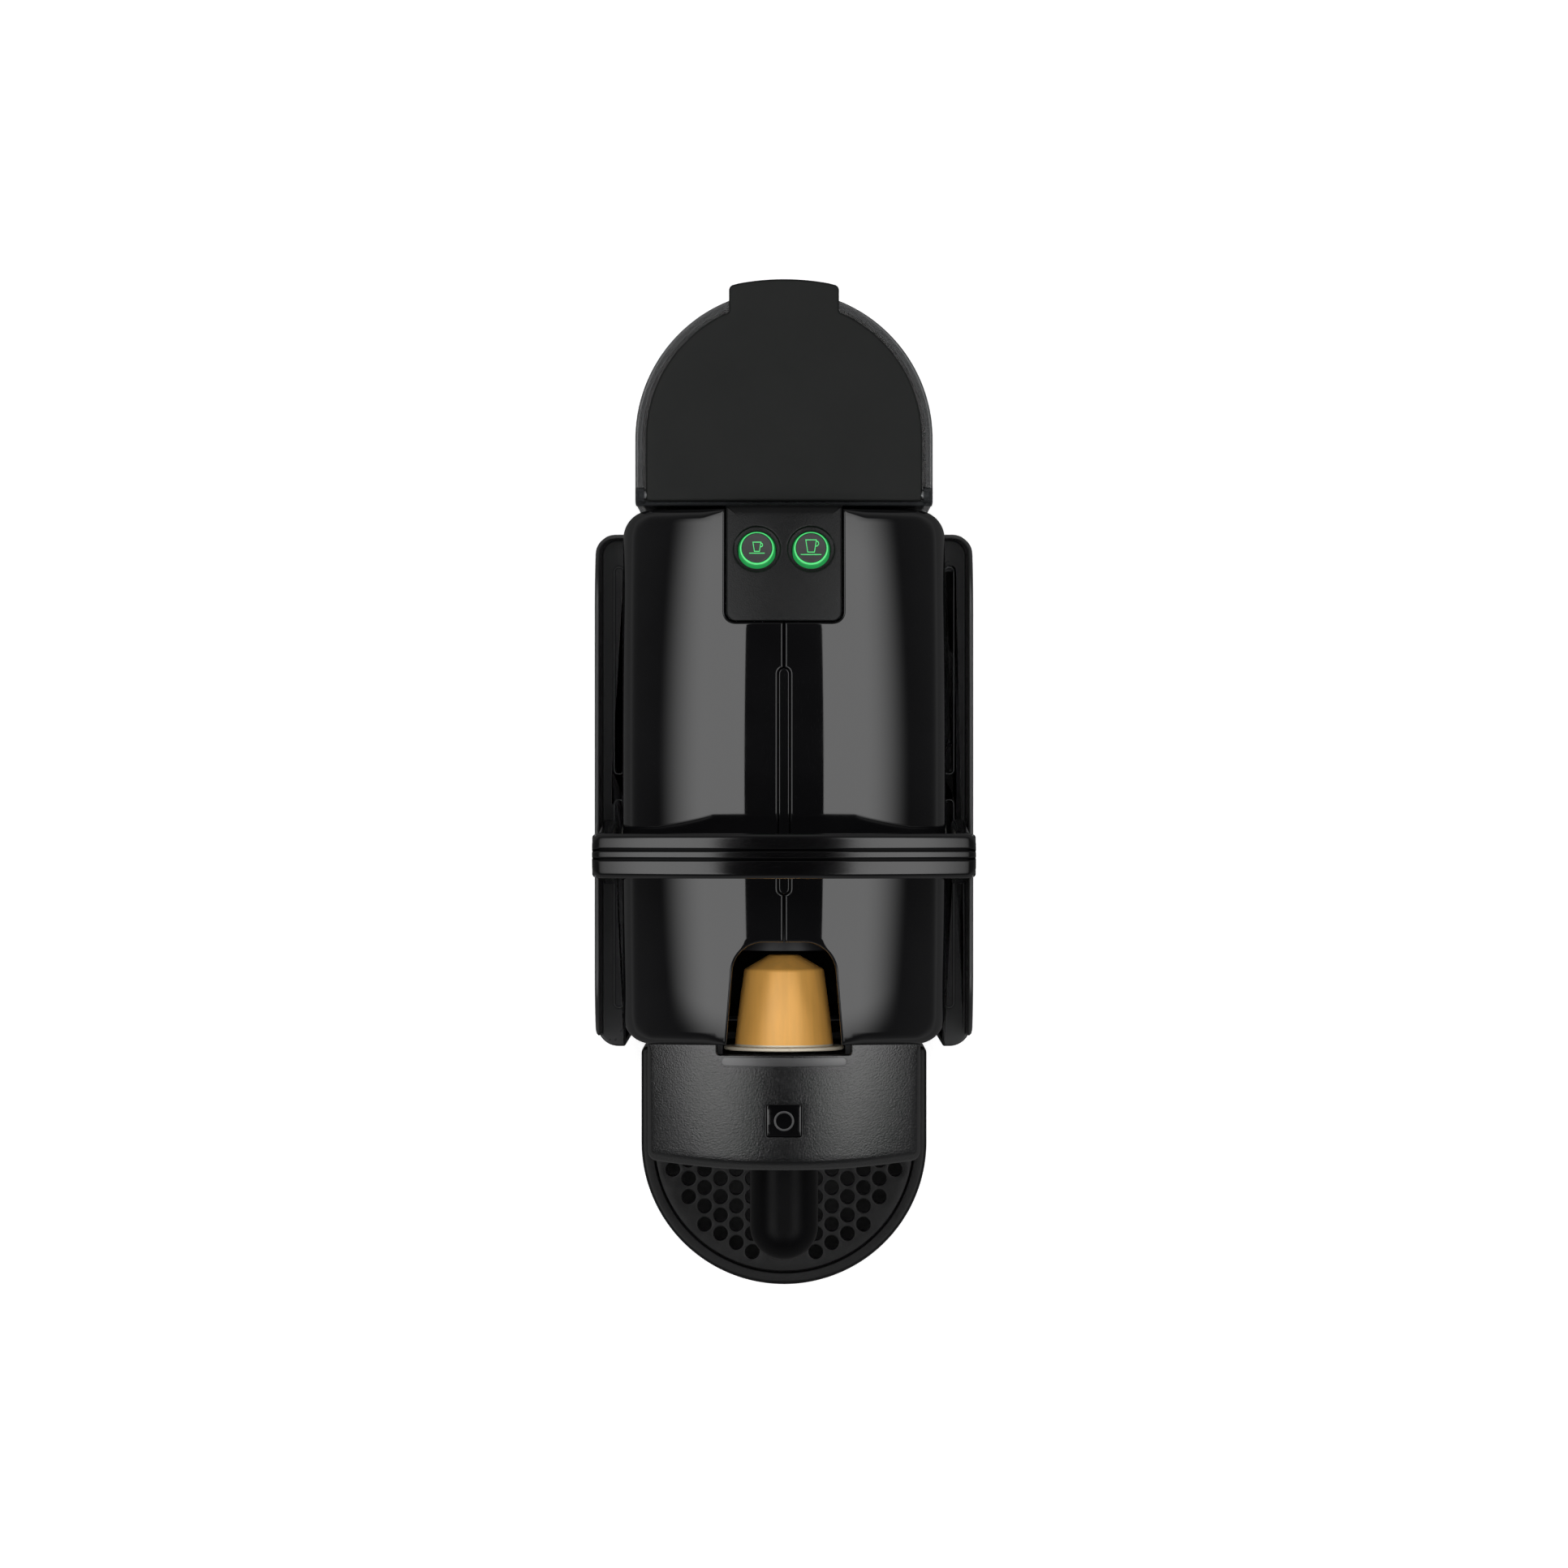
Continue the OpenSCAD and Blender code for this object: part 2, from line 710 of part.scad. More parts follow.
// Two rails under the yoke, a rear cross member and lugs to the housing's sides
module brew_frame() {
  color("#4a4a4c") {
    both_sides() {
      box(fork_x - fork_t - 1.5, fork_x + 1.5, frame_y0, frame_y1, rail_z1 - 9, rail_z1);
      for (y = [frame_y0 + 12, frame_y1 - 12])
        box(fork_x, inner_x, y, y + 10, rail_z1 - 9, rail_z1 - 4);
    }
    box(-fork_x - 1, fork_x + 1, frame_y1 - 8, frame_y1, rail_z1 - 9, rail_z1);
  }
}

// Plate that the capsule's rim is pressed against
module brew_head() {
  y1 = rim_front - 1.2;
  color("#77797b") difference() {
    union() {
      intersection() {
        rod_y(capsule_rim_r + 1.5, y1 - 4, y1, 0, chamber_z);
        box(-far, far, -far, far, 0, cover_top - 8);
      }
      box(-17, 17, y1 - 4, y1, chamber_z - 20, chamber_z - 10);
      // ears to the housing's front face
      both_sides() box(16, capsule_rim_r + 5, y1 - 4, y1, chamber_z - 6, chamber_z + 4);
      both_sides() box(capsule_rim_r + 2.6, capsule_rim_r + 5, y1 - 4, front, chamber_z - 6, chamber_z + 4);
    }
    for (x = [-9:6:9], z = [-9:6:9]) rod_y(1, y1 - 6, y1 + slack, x, chamber_z + z);
  }
}

// Upright rails beside the capsule's rim, standing on the brew head's ears
module capsule_guides() {
  color("#2d2d2e") both_sides()
    box(capsule_rim_r + 0.3, capsule_rim_r + 2, rim_front - 1.2, rim_back + 0.3,
        chamber_z - 17, chamber_z + 5);
}

module capsule_cage() {
  color("#9a9c9e") difference() {
    rod_y(cage_r, cage_lip, cage_end, 0, chamber_z);
    rod_y(cage_bore, cage_lip - slack, cage_lip + cage_depth, 0, chamber_z);
    rod_y(1.5, cage_lip, cage_end + slack, 0, chamber_z);
    // seat for the seal
    difference() {
      rod_y(cage_bore + 2.4, cage_lip - slack, cage_lip + 2, 0, chamber_z);
      rod_y(cage_bore + 0.9, cage_lip - slack, cage_lip + 2, 0, chamber_z);
    }
  }
}

module cage_seal() {
  color("#b9522c") difference() {
    rod_y(cage_bore + 2.4, cage_lip - 0.2, cage_lip + 2, 0, chamber_z);
    rod_y(cage_bore + 0.9, cage_lip - slack, cage_lip + 3, 0, chamber_z);
  }
}

// Cross bar behind the cage with a fork at each end for the crank pins
module cage_yoke() {
  z0 = rail_z1 + 0.3;
  z1 = pivot_z + crank_r + 1;
  y1 = pin_y + fork_half + 3.3;
  color("#6b6d70") {
    difference() {
      box(-fork_x, fork_x, cage_end, cage_end + 5, z0, chamber_z + 9);
      rod_y(1.5, cage_end - slack, cage_end + 6, 0, chamber_z);
    }
    both_sides() difference() {
      box(fork_x - fork_t, fork_x, cage_end, y1, z0, z1);
      box(fork_x - fork_t - slack, fork_x + slack, pin_y - fork_half, pin_y + fork_half,
          pin_z - crank_pin_r - 1.2, far);
    }
  }
}

module capsule() {
  shoulder = capsule_l - 4.3;
  color("#c8974a") translate([0, rim_front, chamber_z]) rotate([-90, 0, 0]) rotate_extrude($fn = 96)
    polygon([
      [0, 0], [capsule_rim_r, 0], [capsule_rim_r, capsule_rim_t], [capsule_r, capsule_rim_t],
      [capsule_r - 2.9, capsule_rim_t + shoulder], [4.5, capsule_rim_t + capsule_l],
      [0, capsule_rim_t + capsule_l]
    ]);
}

// ---------- capsule container, carrier and drip tray ----------

module capsule_container() {
  t = 1.8;
  bin_y1 = bin_y0 + bin_d;
  color("#161617") difference() {
    translate([0, 0, bin_z0]) linear_extrude(height = bin_h)
      rounded_rect(-bin_w / 2, bin_w / 2, bin_y0, bin_y1, 3);
    translate([0, 0, bin_z0 + t]) linear_extrude(height = bin_h)
      rounded_rect(-bin_w / 2 + t, bin_w / 2 - t, bin_y0 + t, bin_y1 - t, 1.5);
    // finger cut at the rear of the rim
    translate([0, bin_y1 - t - slack, bin_z0 + bin_h]) rotate([-90, 0, 0])
      cylinder(r = 12, h = t + 2 * slack);
  }
}

carrier_wall_y = front - 1.4;

// Slide under the container, with an upright front wall that carries the tray's hinge
module drip_carrier() {
  color("#19191a") difference() {
    union() {
      box(-carrier_w / 2, carrier_w / 2, carrier_wall_y - 1, bin_y0 + bin_d + 2.2,
          base_top + 0.4, bin_z0 - 0.2);
      box(-carrier_w / 2, carrier_w / 2, bin_y0 + bin_d + 0.6, bin_y0 + bin_d + 2.2,
          base_top + 0.4, bin_z0 + 5);
      box(-carrier_w / 2, carrier_w / 2, carrier_wall_y - 1.6, carrier_wall_y, base_top + 0.4, hinge_z - 3.4);
      both_sides() {
        rod_x(2.4, 30, 38, hinge_y, hinge_z);
        box(30, 38, hinge_y - 0.6, carrier_wall_y, hinge_z - 4, hinge_z);
      }
      // runners in the base plate's grooves
      for (side = [-1, 1])
        box(side * 24 - 1.6, side * 24 + 1.6, front + 4, front + 60, base_top - 0.4, base_top + 1);
    }
    rod_x(hinge_pin_r, -far, far, hinge_y, hinge_z);
  }
}

module tray_hinge_pins() {
  color("silver") both_sides() rod_x(hinge_pin_r, 20, 37.6, hinge_y, hinge_z);
}

tray_z0 = 1;
grid_t = 2.4;
grid_seat = tray_top - grid_t - 0.8;

module tray_outline(inset) {
  d_outline(tray_w / 2 - inset, tray_back - inset, tray_arc_y, -1);
}

module drip_tray() {
  color("#141415") difference() {
    union() {
      translate([0, 0, tray_z0]) linear_extrude(height = tray_top - tray_z0) tray_outline(0);
      // hinge ears on the back wall
      both_sides() {
        rod_x(2.4, 21, 29.6, hinge_y, hinge_z);
        box(21, 29.6, tray_back - slack, hinge_y, hinge_z - 2.4, hinge_z + 1);
      }
    }
    // the bowl
    translate([0, 0, tray_z0 + tray_wall]) linear_extrude(height = grid_seat - tray_z0 - tray_wall - 3)
      tray_outline(tray_wall);
    // the ledge under the grid, and the grid's recess
    translate([0, 0, grid_seat - 4]) linear_extrude(height = 5) tray_outline(tray_rim + 1.5);
    translate([0, 0, grid_seat]) linear_extrude(height = 10) tray_outline(tray_rim);
    both_sides() rod_x(hinge_pin_r + run_fit, 20, 30, hinge_y, hinge_z);
  }
}

module drip_grid() {
  edge = tray_rim + clear;
  safe_r = tray_w / 2 - edge - hole_r - 2.6;
  color("#1b1b1c") translate([0, 0, grid_seat]) difference() {
    linear_extrude(height = grid_t) tray_outline(edge);
    for (col = [-8:8], n = [-9:9]) {
      x = col * hole_pitch * sqrt(3) / 2;
      y = tray_arc_y + (n + (abs(col) % 2) / 2) * hole_pitch;
      inside = y < tray_arc_y ? norm([x, y - tray_arc_y]) < safe_r : abs(x) < safe_r;
      if (inside && y < tray_back - edge - hole_r - 2.4)
        translate([x, y, -slack]) cylinder(r = hole_r, h = grid_t + 2 * slack, $fn = 24);
    }
  }
}

module tray_feet() {
  color("#242424") both_sides() for (p = [[30, tray_back - 14], [20, tray_arc_y - 26]])
    translate([p.x, p.y, 0]) cylinder(r = 5, h = tray_z0);
}

// ---------- water tank ----------

lid_y = tank_front + 1.2;
lid_z = tank_top + 0.2;
lid_hinge_y = tank_front + 3.1;
lid_hinge_z = lid_z + 1.3;
lid_half = tank_w / 2 - tank_wall - 1.1;
valve_y = tank_front + 22;
valve_r = 8;

module tank_outline(inset) {
  d_outline(tank_w / 2 - inset, tank_front + inset, tank_arc_y, 1);
}

module water_tank() {
  ear_x = lid_half + 0.4;
  color("#2c2e30", 0.6) difference() {
    union() {
      translate([0, 0, dock_top]) linear_extrude(height = tank_top - dock_top) tank_outline(0);
      both_sides() {
        box(ear_x, tank_w / 2, tank_front, lid_hinge_y + 2.4, tank_top - 6, lid_hinge_z);
        rod_x(2.4, ear_x, tank_w / 2, lid_hinge_y, lid_hinge_z);
      }
    }
    translate([0, 0, dock_top + 3]) linear_extrude(height = far) intersection() {
      tank_outline(tank_wall);
      // keep the ears whole
      union() {
        translate([-far, lid_hinge_y + 2.4]) square([2 * far, far]);
        translate([-ear_x, -far]) square([2 * ear_x, 2 * far]);
      }
    }
    // lower front edge under the lid's hinge
    box(-ear_x, ear_x, tank_front - slack, tank_front + tank_wall + slack, tank_top - 3.6, far);
    translate([0, valve_y, dock_top - slack]) cylinder(r = valve_r - 2, h = 6);
    both_sides() rod_x(1.5, ear_x - slack, tank_w / 2 - 1, lid_hinge_y, lid_hinge_z);
  }
}

// Lid with an inner lip and a thumb tab at the rear
module tank_lid() {
  tab_end = tank_front + tank_d + tab_reach;
  color("#222423") difference() {
    union() {
      translate([0, 0, lid_z]) linear_extrude(height = lid_t) {
        d_outline(lid_half, lid_y, tank_arc_y, 1);
        intersection() {
          rounded_rect(-tab_w / 2, tab_w / 2, tank_arc_y, tab_end, 2);
          translate([0, tab_end - 75]) circle(r = 75, $fn = 128);
        }
      }
      difference() {
        translate([0, 0, lid_z - 3]) linear_extrude(height = 4)
          d_outline(lid_half - 1, lid_hinge_y + 4, tank_arc_y, 1);
        translate([0, 0, lid_z - 4]) linear_extrude(height = 4)
          d_outline(lid_half - 3, lid_hinge_y + 6, tank_arc_y, 1);
      }
    }
    both_sides() rod_x(1.45, lid_half - 6, lid_half + slack, lid_hinge_y, lid_hinge_z);
  }
}

module lid_hinge_pins() {
  color("silver") both_sides() rod_x(1.45, lid_half - 6, tank_w / 2 - 1.3, lid_hinge_y, lid_hinge_z);
}

// Spring valve in the tank's floor, with the spigot that enters the dock
module tank_valve() {
  color("#c9c9c4") translate([0, valve_y, 0]) difference() {
    union() {
      translate([0, 0, dock_top]) cylinder(r = valve_r - 2, h = 3);
      translate([0, 0, dock_top + 3]) cylinder(r = valve_r, h = 5);
      translate([0, 0, dock_top - 4]) cylinder(r = valve_r - 3, h = 5);
    }
    translate([0, 0, dock_top - 5]) cylinder(r = 2, h = 11);
    translate([0, 0, dock_top + 5]) cylinder(r = 3.4, h = 4);
  }
}

module tank_dock() {
  color("#1a1a1b") difference() {
    union() {
      translate([0, 0, base_top]) linear_extrude(height = dock_h) intersection() {
        d_outline(tank_w / 2 - 1, tank_front + 0.2, tank_arc_y, 1);
        translate([-far, rear]) square(2 * far);
      }
      // spigot into the housing
      rod_y(3.5, rear - 8, tank_front + 2, 0, line_z);
    }
    translate([0, valve_y, base_top + 2]) cylinder(r = valve_r - 0.5, h = 20);
    rod_y(2, rear - 9, valve_y, 0, line_z);
    rod_x(gland_bore_r + 0.9, -tank_w / 2 - slack, -tank_w / 2 + 12, gland_y, gland_z);
    // cord channel from the gland
    box(-tank_w / 2 + 10, -tank_w / 2 + 20, tank_front - 5, gland_y + 4, gland_z - 4, gland_z + 4);
  }
}

module dock_seal() {
  color("#3b3b3b") translate([0, valve_y, dock_top - 3]) difference() {
    cylinder(r = valve_r - 0.5, h = 2.4);
    translate([0, 0, -slack]) cylinder(r = valve_r - 2.6, h = 5);
  }
}

gland_bore_r = 2.4;

// Bushing where a mains lead would leave the base
module cable_gland() {
  color("#202020") difference() {
    union() {
      rod_x(gland_bore_r + 0.9, -tank_w / 2 + 0.8, -tank_w / 2 + 9, gland_y, gland_z);
      rod_x(gland_bore_r + 1.5, -tank_w / 2 - 1.4, -tank_w / 2 + 1, gland_y, gland_z);
    }
    rod_x(gland_bore_r, -tank_w / 2 - 3, -tank_w / 2 + 10, gland_y, gland_z);
  }
}

// ---------- water system ----------

pump_z = base_top + 25;
pump_y0 = rear - 68;
pump_y1 = rear - 26;
heater_z0 = base_top + 76;
heater_y0 = rear - 78;
heater_y1 = rear - 20;

module pump() {
  color("#b8b9ba") {
    box(-19, 19, pump_y0 + 8, pump_y1 - 8, pump_z - 17, pump_z + 17);
    rod_y(9, pump_y0, pump_y1, 0, pump_z);
    rod_y(3, pump_y0 - 4, pump_y1 + 4, 0, pump_z);
  }
}

module pump_mounts() {
  color("#2b2b2b") for (y = [pump_y0 + 10, pump_y1 - 18])
    box(-14, 14, y, y + 8, base_top, pump_z - 17);
}

// Turbine meter in the suction line, standing on its own foot
module flow_meter() {
  color("#e6e3da") {
    rod_y(9, rear - 14.5, rear - 9.5, 0, base_top + 14);
    box(-6, 6, rear - 14.5, rear - 9.5, base_top, base_top + 8);
  }
}

// Hose along Y from y0 to y1 that then runs up or down to z1, with a ball at the bend
module bent_hose(y_bend, y_end, z_bend, z_end) {
  rod_y(hose_r, min(y_bend, y_end), max(y_bend, y_end), 0, z_bend);
  translate([0, y_bend, z_bend]) sphere(r = bend_r);
  translate([0, y_bend, min(z_bend, z_end)]) cylinder(r = hose_r, h = abs(z_end - z_bend));
}

module suction_hose() {
  color("#d9d9d6") {
    rod_y(hose_r, rear - 9.5, rear - 8, 0, line_z);
    bent_hose(rear - 18, rear - 14.5, base_top + 14, pump_z);
    rod_y(hose_r, pump_y1 + 4, rear - 18, 0, pump_z);
    translate([0, rear - 18, pump_z]) sphere(r = bend_r);
  }
}

module pressure_hose() {
  y = heater_y0 - 9;
  color("#d9d9d6") {
    bent_hose(y, pump_y0 - 4, pump_z, heater_z0 + 8);
    bent_hose(y, heater_y0, heater_z0 + 8, heater_z0);
  }
}

module thermoblock() {
  color("#a9abad") difference() {
    union() {
      box(-26, 26, heater_y0, heater_y1, heater_z0, heater_z0 + 34);
      for (x = [-20:8:20]) box(x - 1, x + 1, heater_y0 + 4, heater_y1 - 4, heater_z0 + 33, heater_z0 + 38);
      translate([0, heater_y0 + 8, heater_z0 + 30]) cylinder(r = 5, h = 12);
    }
    rod_x(4, -far, far, heater_y1 - 12, heater_z0 + 17);
  }
}

module heater_bracket() {
  color("#c4c5c6") {
    box(-inner_x, inner_x, heater_y0 + 16, heater_y1 - 16, heater_z0 - 2, heater_z0);
    both_sides() box(inner_x - 2, inner_x, heater_y0 + 16, heater_y1 - 16, heater_z0 - 14, heater_z0 - 1);
  }
}

// Rigid tube from the thermoblock up to the brew frame's cross member
module hot_tube() {
  y = heater_y0 + 8;
  z1 = rail_z1 - 9;
  color("#c58b4a") {
    bent_hose(y, frame_y1 - 4, z1 - 6, heater_z0 + 42);
    bent_hose(frame_y1 - 4, frame_y1 - 5, z1 - 6, z1);
  }
}

base_plate();
rubber_feet();
base_screws();
left_shell();
right_shell();
seam_insert();
left_cheek();
right_cheek();
front_cover();
badge();
spout();
coffee_collector();
button_panel();
espresso_button();
lungo_button();
espresso_ring();
lungo_ring();
control_board();
lever();
pivot_bushes();
drive_cranks();
brew_frame();
brew_head();
capsule_guides();
capsule_cage();
cage_seal();
cage_yoke();
capsule();
capsule_container();
drip_carrier();
drip_tray();
tray_hinge_pins();
drip_grid();
tray_feet();
water_tank();
tank_lid();
lid_hinge_pins();
tank_valve();
tank_dock();
dock_seal();
pump();
pump_mounts();
flow_meter();
thermoblock();
heater_bracket();
suction_hose();
pressure_hose();
hot_tube();
cable_gland();
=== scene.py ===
"""Looks of the pod coffee machine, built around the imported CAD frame.

Lengths in the helpers are millimetres.
"""
import json
import math

import bmesh
import bpy
import numpy as np
from mathutils import Matrix, Vector
from mathutils.geometry import delaunay_2d_cdt
from mathutils.kdtree import KDTree


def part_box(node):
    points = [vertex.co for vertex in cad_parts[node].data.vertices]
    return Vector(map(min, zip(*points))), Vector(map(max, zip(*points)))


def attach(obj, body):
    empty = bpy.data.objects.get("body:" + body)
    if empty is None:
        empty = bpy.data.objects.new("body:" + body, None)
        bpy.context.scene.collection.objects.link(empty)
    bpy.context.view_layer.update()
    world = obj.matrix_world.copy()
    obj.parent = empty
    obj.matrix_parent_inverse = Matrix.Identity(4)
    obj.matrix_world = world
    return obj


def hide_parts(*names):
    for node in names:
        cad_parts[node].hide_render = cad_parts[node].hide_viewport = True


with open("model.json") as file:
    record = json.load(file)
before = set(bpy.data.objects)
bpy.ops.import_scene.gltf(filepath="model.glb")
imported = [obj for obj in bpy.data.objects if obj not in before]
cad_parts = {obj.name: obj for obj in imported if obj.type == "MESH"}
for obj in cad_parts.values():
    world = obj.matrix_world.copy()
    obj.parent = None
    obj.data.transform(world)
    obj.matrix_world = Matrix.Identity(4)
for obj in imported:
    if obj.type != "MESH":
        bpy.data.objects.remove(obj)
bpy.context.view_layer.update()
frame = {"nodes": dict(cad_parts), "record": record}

MM = 0.001
TAU = 2 * math.pi
SHARP_ANGLE = 38.0


def edges(node):
    """x0, y0, z0, x1, y1, z1 of a CAD node in millimetres."""
    lo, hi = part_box(node)
    return [v / MM for v in (*lo, *hi)]


def axis_of(node):
    """y, z of the middle of a CAD node."""
    _, y0, z0, _, y1, z1 = edges(node)
    return (y0 + y1) / 2, (z0 + z1) / 2


def placed(name, data):
    """Object in the scene's own collection."""
    obj = bpy.data.objects.new(name, data)
    bpy.context.scene.collection.objects.link(obj)
    return obj


# ---------------------------------------------------------------- materials

def nodes_of(name):
    m = bpy.data.materials.new(name)
    m.use_nodes = True
    return m, m.node_tree, m.node_tree.nodes["Principled BSDF"]


def noise(tree, scale, detail=3.0, stretch=(1, 1, 1)):
    """Noise in the object's own coordinates; scale is features per metre."""
    place = tree.nodes.new("ShaderNodeTexCoord")
    mapping = tree.nodes.new("ShaderNodeMapping")
    mapping.inputs["Scale"].default_value = stretch
    texture = tree.nodes.new("ShaderNodeTexNoise")
    texture.inputs["Scale"].default_value = scale
    texture.inputs["Detail"].default_value = detail
    tree.links.new(place.outputs["Object"], mapping.inputs["Vector"])
    tree.links.new(mapping.outputs["Vector"], texture.inputs["Vector"])
    return texture.outputs["Fac"]


def mix_colours(tree, factor, low, high, socket):
    ramp = tree.nodes.new("ShaderNodeValToRGB")
    ramp.color_ramp.elements[0].position = 0.3
    ramp.color_ramp.elements[1].position = 0.7
    ramp.color_ramp.elements[0].color = (*low, 1)
    ramp.color_ramp.elements[1].color = (*high, 1)
    tree.links.new(factor, ramp.inputs["Fac"])
    tree.links.new(ramp.outputs["Color"], socket)


def spread(tree, factor, low, high, socket):
    span = tree.nodes.new("ShaderNodeMapRange")
    span.inputs["From Min"].default_value = 0.3
    span.inputs["From Max"].default_value = 0.7
    span.inputs["To Min"].default_value = low
    span.inputs["To Max"].default_value = high
    tree.links.new(factor, span.inputs["Value"])
    tree.links.new(span.outputs["Result"], socket)


def bump(tree, shader, height, depth, strength=1.0):
    node = tree.nodes.new("ShaderNodeBump")
    node.inputs["Strength"].default_value = strength
    node.inputs["Distance"].default_value = depth
    tree.links.new(height, node.inputs["Height"])
    tree.links.new(node.outputs["Normal"], shader.inputs["Normal"])


def moulded(name, colour, rough, vary=0.12, rough_vary=0.03, grain=900, depth=2e-6, cloud=70, metal=0.0,
            stretch=(1, 1, 1), strength=1.0, spec=0.5):
    """Plastic, rubber or metal whose colour, roughness and fine relief vary a little over the surface."""
    m, tree, shader = nodes_of(name)
    shader.inputs["Metallic"].default_value = metal
    shader.inputs["Specular IOR Level"].default_value = spec
    clouds = noise(tree, cloud, 4, stretch)
    low = [c * (1 - vary) for c in colour]
    high = [c * (1 + vary) for c in colour]
    mix_colours(tree, clouds, low, high, shader.inputs["Base Color"])
    spread(tree, clouds, rough - rough_vary, rough + rough_vary, shader.inputs["Roughness"])
    bump(tree, shader, noise(tree, grain, 2, stretch), depth, strength)
    return m


def glowing(name, colour, strength):
    m, tree, shader = nodes_of(name)
    shader.inputs["Base Color"].default_value = (*[0.2 * c for c in colour], 1)
    shader.inputs["Roughness"].default_value = 0.35
    shader.inputs["Emission Strength"].default_value = strength
    mix_colours(tree, noise(tree, 900, 1), [0.85 * c for c in colour], colour,
                shader.inputs["Emission Color"])
    return m


def smoky(name):
    m = moulded(name, (0.028, 0.03, 0.032), 0.1, grain=200, depth=2e-6)
    m.node_tree.nodes["Principled BSDF"].inputs["Alpha"].default_value = 0.8
    return m


SURFACES = {
    "housing_gloss": dict(colour=(0.0045, 0.0045, 0.005), rough=0.035, rough_vary=0.008,
                          grain=60, depth=1e-6),
    "cheek_gloss": dict(colour=(0.017, 0.0173, 0.018), rough=0.3, grain=120, depth=1e-6),
    "cover_texture": dict(colour=(0.003, 0.0032, 0.0035), rough=0.22,
                          grain=2200, depth=1.2e-4, strength=0.6, spec=0.7),
    "badge_gloss": dict(colour=(0.002, 0.002, 0.0024), rough=0.12),
    "spout_satin": dict(colour=(0.0012, 0.0012, 0.0015), rough=0.4, spec=0.08),
    "panel_texture": dict(colour=(0.0036, 0.0038, 0.004), rough=0.4,
                          grain=2400, depth=1.2e-4, strength=0.6, spec=0.24),
    "button_face": dict(colour=(0.026, 0.027, 0.027), rough=0.5, grain=3000, depth=1e-5),
    "lever_satin": dict(colour=(0.0012, 0.0012, 0.0015), rough=0.15, grain=1800, depth=3e-6),
    "base_plastic": dict(colour=(0.014, 0.014, 0.015), rough=0.45, grain=1600, depth=2e-5),
    "tray_texture": dict(colour=(0.0018, 0.0018, 0.002), rough=0.42,
                         grain=2000, depth=7e-5, strength=0.6, spec=0.25),
    "grid_texture": dict(colour=(0.0024, 0.0024, 0.0026), rough=0.42,
                         grain=2000, depth=7e-5, strength=0.6, spec=0.25),
    "lid_matte": dict(colour=(0.0052, 0.0058, 0.0055), rough=0.6, vary=0.05,
                      grain=2600, depth=6e-6, spec=0.2),
    "rubber_black": dict(colour=(0.02, 0.02, 0.02), rough=0.75, grain=2500, depth=2e-5),
    "seal_silicone": dict(colour=(0.4, 0.06, 0.03), rough=0.5),
    "steel": dict(colour=(0.5, 0.51, 0.52), rough=0.3, metal=1.0, grain=700, depth=3e-6, stretch=(0.1, 1, 1)),
    "die_cast": dict(colour=(0.42, 0.43, 0.44), rough=0.42, metal=1.0, grain=1500, depth=2e-5),
    "inner_plastic": dict(colour=(0.04, 0.04, 0.042), rough=0.5, grain=1500, depth=1e-5),
    "light_plastic": dict(colour=(0.6, 0.58, 0.52), rough=0.45, vary=0.05, grain=900, depth=5e-6),
    "pump_body": dict(colour=(0.55, 0.56, 0.57), rough=0.35, metal=1.0, grain=400, depth=5e-6),
    "tube_metal": dict(colour=(0.7, 0.42, 0.18), rough=0.3, metal=1.0, grain=900, depth=3e-6),
    "capsule_gold": dict(colour=(0.74, 0.38, 0.085), rough=0.42, vary=0.08, rough_vary=0.05, metal=0.12,
                         grain=900, depth=1.2e-5, cloud=420, stretch=(1, 0.03, 1)),
}
MATERIALS = {name: moulded(name, **look) for name, look in SURFACES.items()}
MATERIALS["light_ring"] = glowing("light_ring", (0.10, 0.78, 0.22), 1.0)
MATERIALS["tank_smoke"] = smoky("tank_smoke")
SILVER = moulded("capsule_rim", (0.66, 0.6, 0.48), 0.5, vary=0.05, metal=0.3, grain=900, depth=3e-6)
# near-black material that paints the shade deep in the capsule slot onto the brew parts
PAINTED_SHADE_METAL = moulded("painted_shade_metal", (0.012, 0.012, 0.013), 0.45, vary=0.1, grain=1200, depth=4e-6, spec=0.3)
PALE_MARK = moulded("pale_mark", (0.045, 0.045, 0.046), 0.3, vary=0.1, grain=1500, depth=4e-6, spec=0.9)
# glowing grey for thin lines that stand in for edge highlights: painted highlight
PAINTED_HIGHLIGHT_LINE = glowing("painted_highlight_line", (0.11, 0.115, 0.115), 0.35)
GREEN_DEEP = glowing("light_ring_edge", (0.02, 0.34, 0.08), 0.8)


# ---------------------------------------------------------------- mesh helpers

def shade(bm, sharp=SHARP_ANGLE):
    """Smooth faces, with hard edges where the surface turns by more than sharp degrees."""
    for f in bm.faces:
        f.smooth = True
    for e in bm.edges:
        e.smooth = len(e.link_faces) == 2 and e.calc_face_angle(0) < math.radians(sharp)


def finish_mesh(bm, name, slot, body, replaces=(), materials=(), sharp=SHARP_ANGLE):
    """Turns a bmesh in millimetres into a smooth-shaded piece on its body."""
    bmesh.ops.remove_doubles(bm, verts=bm.verts, dist=1e-4)
    bmesh.ops.recalc_face_normals(bm, faces=bm.faces)
    bmesh.ops.scale(bm, vec=(MM, MM, MM), verts=bm.verts)
    shade(bm, sharp)
    mesh = bpy.data.meshes.new(name)
    bm.to_mesh(mesh)
    bm.free()
    obj = placed(name, mesh)
    mesh.materials.append(MATERIALS[slot])
    for m in materials:
        mesh.materials.append(m)
    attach(obj, body)
    if replaces:
        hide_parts(*replaces)
    return obj


def add_box(bm, x0, x1, y0, y1, z0, z1):
    made = bmesh.ops.create_cube(bm, size=1)
    bmesh.ops.scale(bm, vec=(x1 - x0, y1 - y0, z1 - z0), verts=made["verts"])
    bmesh.ops.translate(bm, vec=((x0 + x1) / 2, (y0 + y1) / 2, (z0 + z1) / 2), verts=made["verts"])


